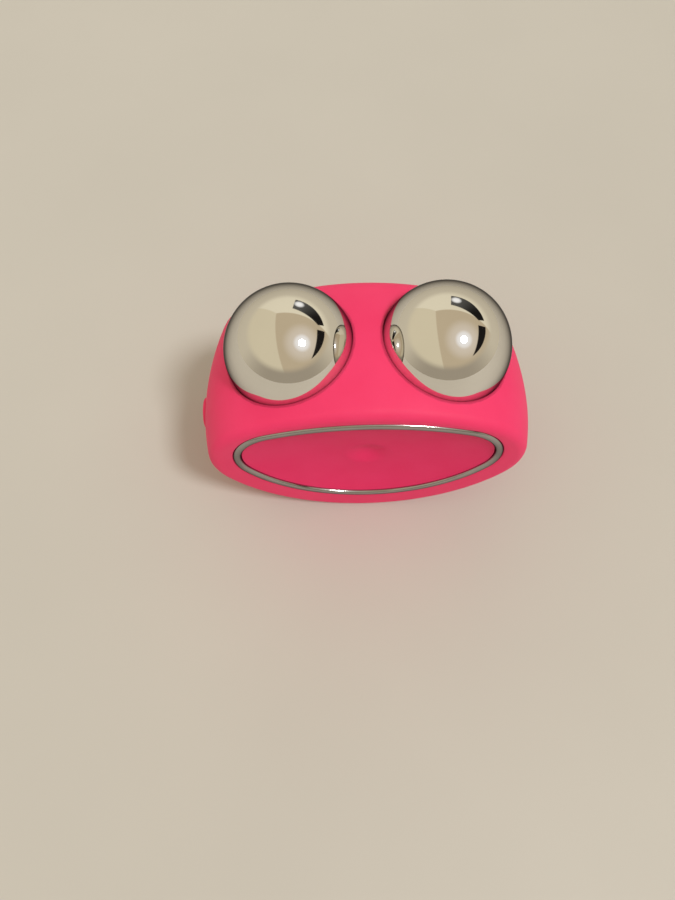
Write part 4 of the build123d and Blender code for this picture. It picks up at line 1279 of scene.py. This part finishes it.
# ---- room
@dataclass(frozen=True)
class Room:
    """Plain room that the plating mirrors: cream walls and ceiling, a dark window, a dark
    doorway, and a halo round the lamp.

    Directions are vectors, or bearings to the right of straight back with heights, in
    degrees. Edges are pairs of the middle and the width of a change.
    """

    low: str = "CDC3AD"
    low_front: str = "A39987"
    left_wall: str = "D8CDB1"
    right_wall: str = "C3B397"
    ceiling: str = "E6DDC4"
    dark: str = "1D1B19"
    grey: str = "5A5955"
    bright: str = "FFFFFF"
    wash: str = "EDE5DC"
    halo: str = "F4F2F0"
    low_top: float = 0.48
    low_fade: float = 0.26
    corner: tuple = (-0.278, 0.518, 0.807)
    overhead: tuple = (-0.322, -0.284, 0.899)
    right: tuple = (0.788, 0.262, 0.548)
    left: tuple = (-0.584, 0.721, 0.372)
    lamp: tuple = (0.4, -0.33, 0.855)
    back: tuple = (20.0, 30.0)
    window_sides: tuple = (9.0, 68.0)
    window_head: tuple = ((8.0, 49.0), (72.0, 37.0))
    door_side: float = 78.0
    door_head: tuple = ((78.0, 42.0), (134.0, 29.0))
    door_way: tuple = (0.9, -0.2, 0.0)
    glow: tuple = (17.0, 37.0)
    plane_edge: tuple = (0.0, 0.03)
    side_width: float = 0.02
    sill_width: float = 0.012
    glow_edge: tuple = (0.9955, 0.008)
    halo_edge: tuple = (0.975, 0.03)
    wash_edge: tuple = (0.9, 0.18)
    wash_share: float = 0.5
    night_edge: tuple = (35.0, 40.0)
    front_edge: tuple = (0.45, 0.9)

    @staticmethod
    def toward(bearing: float, height: float) -> tuple:
        """Direction from its bearing and height."""
        level = cos(radians(height))
        return level * sin(radians(bearing)), level * cos(radians(bearing)), sin(radians(height))

    def past_plane(self, graph: Graph, first: tuple, second: tuple, side: tuple) -> Socket:
        """Mask that is 1 on one side of the plane through two directions.

        Args:
            graph: where it is drawn.
            first: one direction in the plane.
            second: another one.
            side: a direction on the side that counts.

        Returns:
            The mask.
        """
        normal = Vector(first).cross(Vector(second))
        if normal.dot(Vector(side)) < 0:
            normal.negate()
        return graph.near(normal, *self.plane_edge)

    def walls(self, graph: Graph) -> Socket:
        """Cream walls and ceiling that meet in one corner.

        Args:
            graph: where they are drawn.

        Returns:
            Their colour.
        """
        parts = []
        for side, wall in ((self.left, self.left_wall), (self.right, self.right_wall)):
            over = self.past_plane(graph, self.corner, side, self.toward(*self.back))
            parts.append(graph.layered(linear(wall), (over, linear(self.ceiling))))
        right_side = self.past_plane(graph, self.corner, self.overhead, RIGHT)
        return graph.layered(parts[0], (right_side, parts[1]))

    def openings(self, graph: Graph, bearing: Socket, rise: Socket) -> Socket:
        """The dark window behind and the dark doorway on the right.

        Args:
            graph: where they are drawn.
            bearing: the bearing looked at.
            rise: the height looked at.

        Returns:
            The mask of both.
        """
        sides = (*self.window_sides, self.door_side)
        start, end, jamb = (graph.beyond(bearing, radians(s), self.side_width) for s in sides)
        stop = graph.add("Math", {0: 1.0, 1: end}, operation="SUBTRACT")[0]
        high = graph.beyond(rise, self.low_top, self.sill_width)
        heads = []
        for head, side in ((self.window_head, BACK), (self.door_head, self.door_way)):
            heads.append(self.past_plane(graph, self.toward(*head[0]), self.toward(*head[1]), side))
        window = graph.product(high, heads[0], start, stop)
        door = graph.product(high, heads[1], jamb)
        return graph.add("Math", {0: window, 1: door}, operation="MAXIMUM")[0]

    def build(self) -> None:
        """Makes the room the scene's world."""
        world = bpy.data.worlds.new("room")
        bpy.context.scene.world = world
        graph = Graph(world, "Generated")
        parts = graph.add("SeparateXYZ", {"Vector": graph.place})
        bearing = graph.add("Math", {0: parts["X"], 1: parts["Y"]}, operation="ARCTAN2")[0]
        depth = graph.beyond(bearing, *map(radians, self.night_edge))
        wash = graph.product(graph.near(self.lamp, *self.wash_edge), self.wash_share)
        upper = graph.layered(
            self.walls(graph),
            (wash, linear(self.wash)),
            (
                self.openings(graph, bearing, parts["Z"]),
                graph.layered(linear(self.grey), (depth, linear(self.dark))),
            ),
            (graph.near(self.toward(*self.glow), *self.glow_edge), linear(self.bright)),
            (graph.near(self.lamp, *self.halo_edge), linear(self.halo)),
        )
        front = graph.near(FRONT, *self.front_edge)
        lower = graph.layered(linear(self.low), (front, linear(self.low_front)))
        middle, width = (self.low_top + self.low_fade) / 2, self.low_top - self.low_fade
        colour = graph.layered(lower, (graph.beyond(parts["Z"], middle, width), upper))
        ground = graph.add("Background", {"Color": colour, "Strength": 1.0})
        graph.add("OutputWorld", {"Surface": ground[0]})


# ---- studio
@dataclass
class Studio:
    """Pale floor, soft light and the camera, in metres and degrees."""

    table: Finish = Finish("table_matt_pale", "C9C8C5", "CCCBC8", 60.0, 0.5, 0.06, 0.003, 1.2)
    floor_reach: float = 2.5
    floor_steps: int = 8
    floor_drop_mm: float = 0.02
    sun_width: float = 11.0
    sun_strength: float = 1.45
    sun_colour: str = "FFFAF4"
    sun_away: float = 0.52
    sun_about: tuple = (0.0, 0.0, 0.025)
    lens: float = 29.12
    sensor: float = 36.0
    clip: tuple = (0.005, 20.0)
    right: tuple = (0.99978423, -0.02032911, -0.00426866)
    up: tuple = (0.02019403, 0.90304691, 0.42906699)
    back: tuple = (-0.00486775, -0.42906061, 0.90326258)
    stand: tuple = (-0.006702, -0.076403, 0.156917)

    def floor(self) -> None:
        """Plain pale table top."""
        pick()
        cells, reach = self.floor_steps, self.floor_reach
        bpy.ops.mesh.primitive_grid_add(x_subdivisions=cells, y_subdivisions=cells, size=2 * reach)
        made = bpy.context.object
        made.name = "table_top"
        with editing():
            bpy.ops.transform.translate(value=(0, 0, -self.floor_drop_mm * MM))
        made.data.materials.append(self.table.material())

    def light(self) -> None:
        """Soft key light from the upper right and a plain room round the object."""
        data = bpy.data.lights.new("key_light", "SUN")
        data.angle = radians(self.sun_width)
        data.energy = self.sun_strength
        data.color = linear(self.sun_colour)[:3]
        lamp = bpy.data.objects.new("key_light", data)
        bpy.context.scene.collection.objects.link(lamp)
        room = Room()
        way = Vector(room.lamp)
        lamp.location = way.normalized() * self.sun_away + Vector(self.sun_about)
        lamp.rotation_mode = "QUATERNION"
        lamp.rotation_quaternion = way.to_track_quat("Z", "Y")
        room.build()

    def camera(self) -> None:
        """Camera above and in front, a little to the left."""
        data = bpy.data.cameras.new("camera")
        data.lens = self.lens
        data.sensor_width = self.sensor
        data.sensor_fit = "AUTO"
        data.clip_start, data.clip_end = self.clip
        made = bpy.data.objects.new("camera", data)
        bpy.context.scene.collection.objects.link(made)
        pose = Matrix((self.right, self.up, self.back)).transposed().to_4x4()
        pose.translation = self.stand
        made.matrix_world = pose
        bpy.context.scene.camera = made

    def build(self) -> None:
        """Sets up floor, light, camera and view."""
        self.floor()
        self.light()
        self.camera()
        bpy.context.scene.view_settings.view_transform = "Standard"


def main() -> None:
    """Builds the device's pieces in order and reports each."""
    Studio().build()
    for maker in (Sleeve(), Balls(), Rims(), Pads(), Port(), Inside()):
        for made in maker.build():
            mesh = made.data
            LOG.info("%s: %d faces, %s", made.name, len(mesh.polygons), mesh.materials[0].name)


if __name__ == "__main__":
    main()
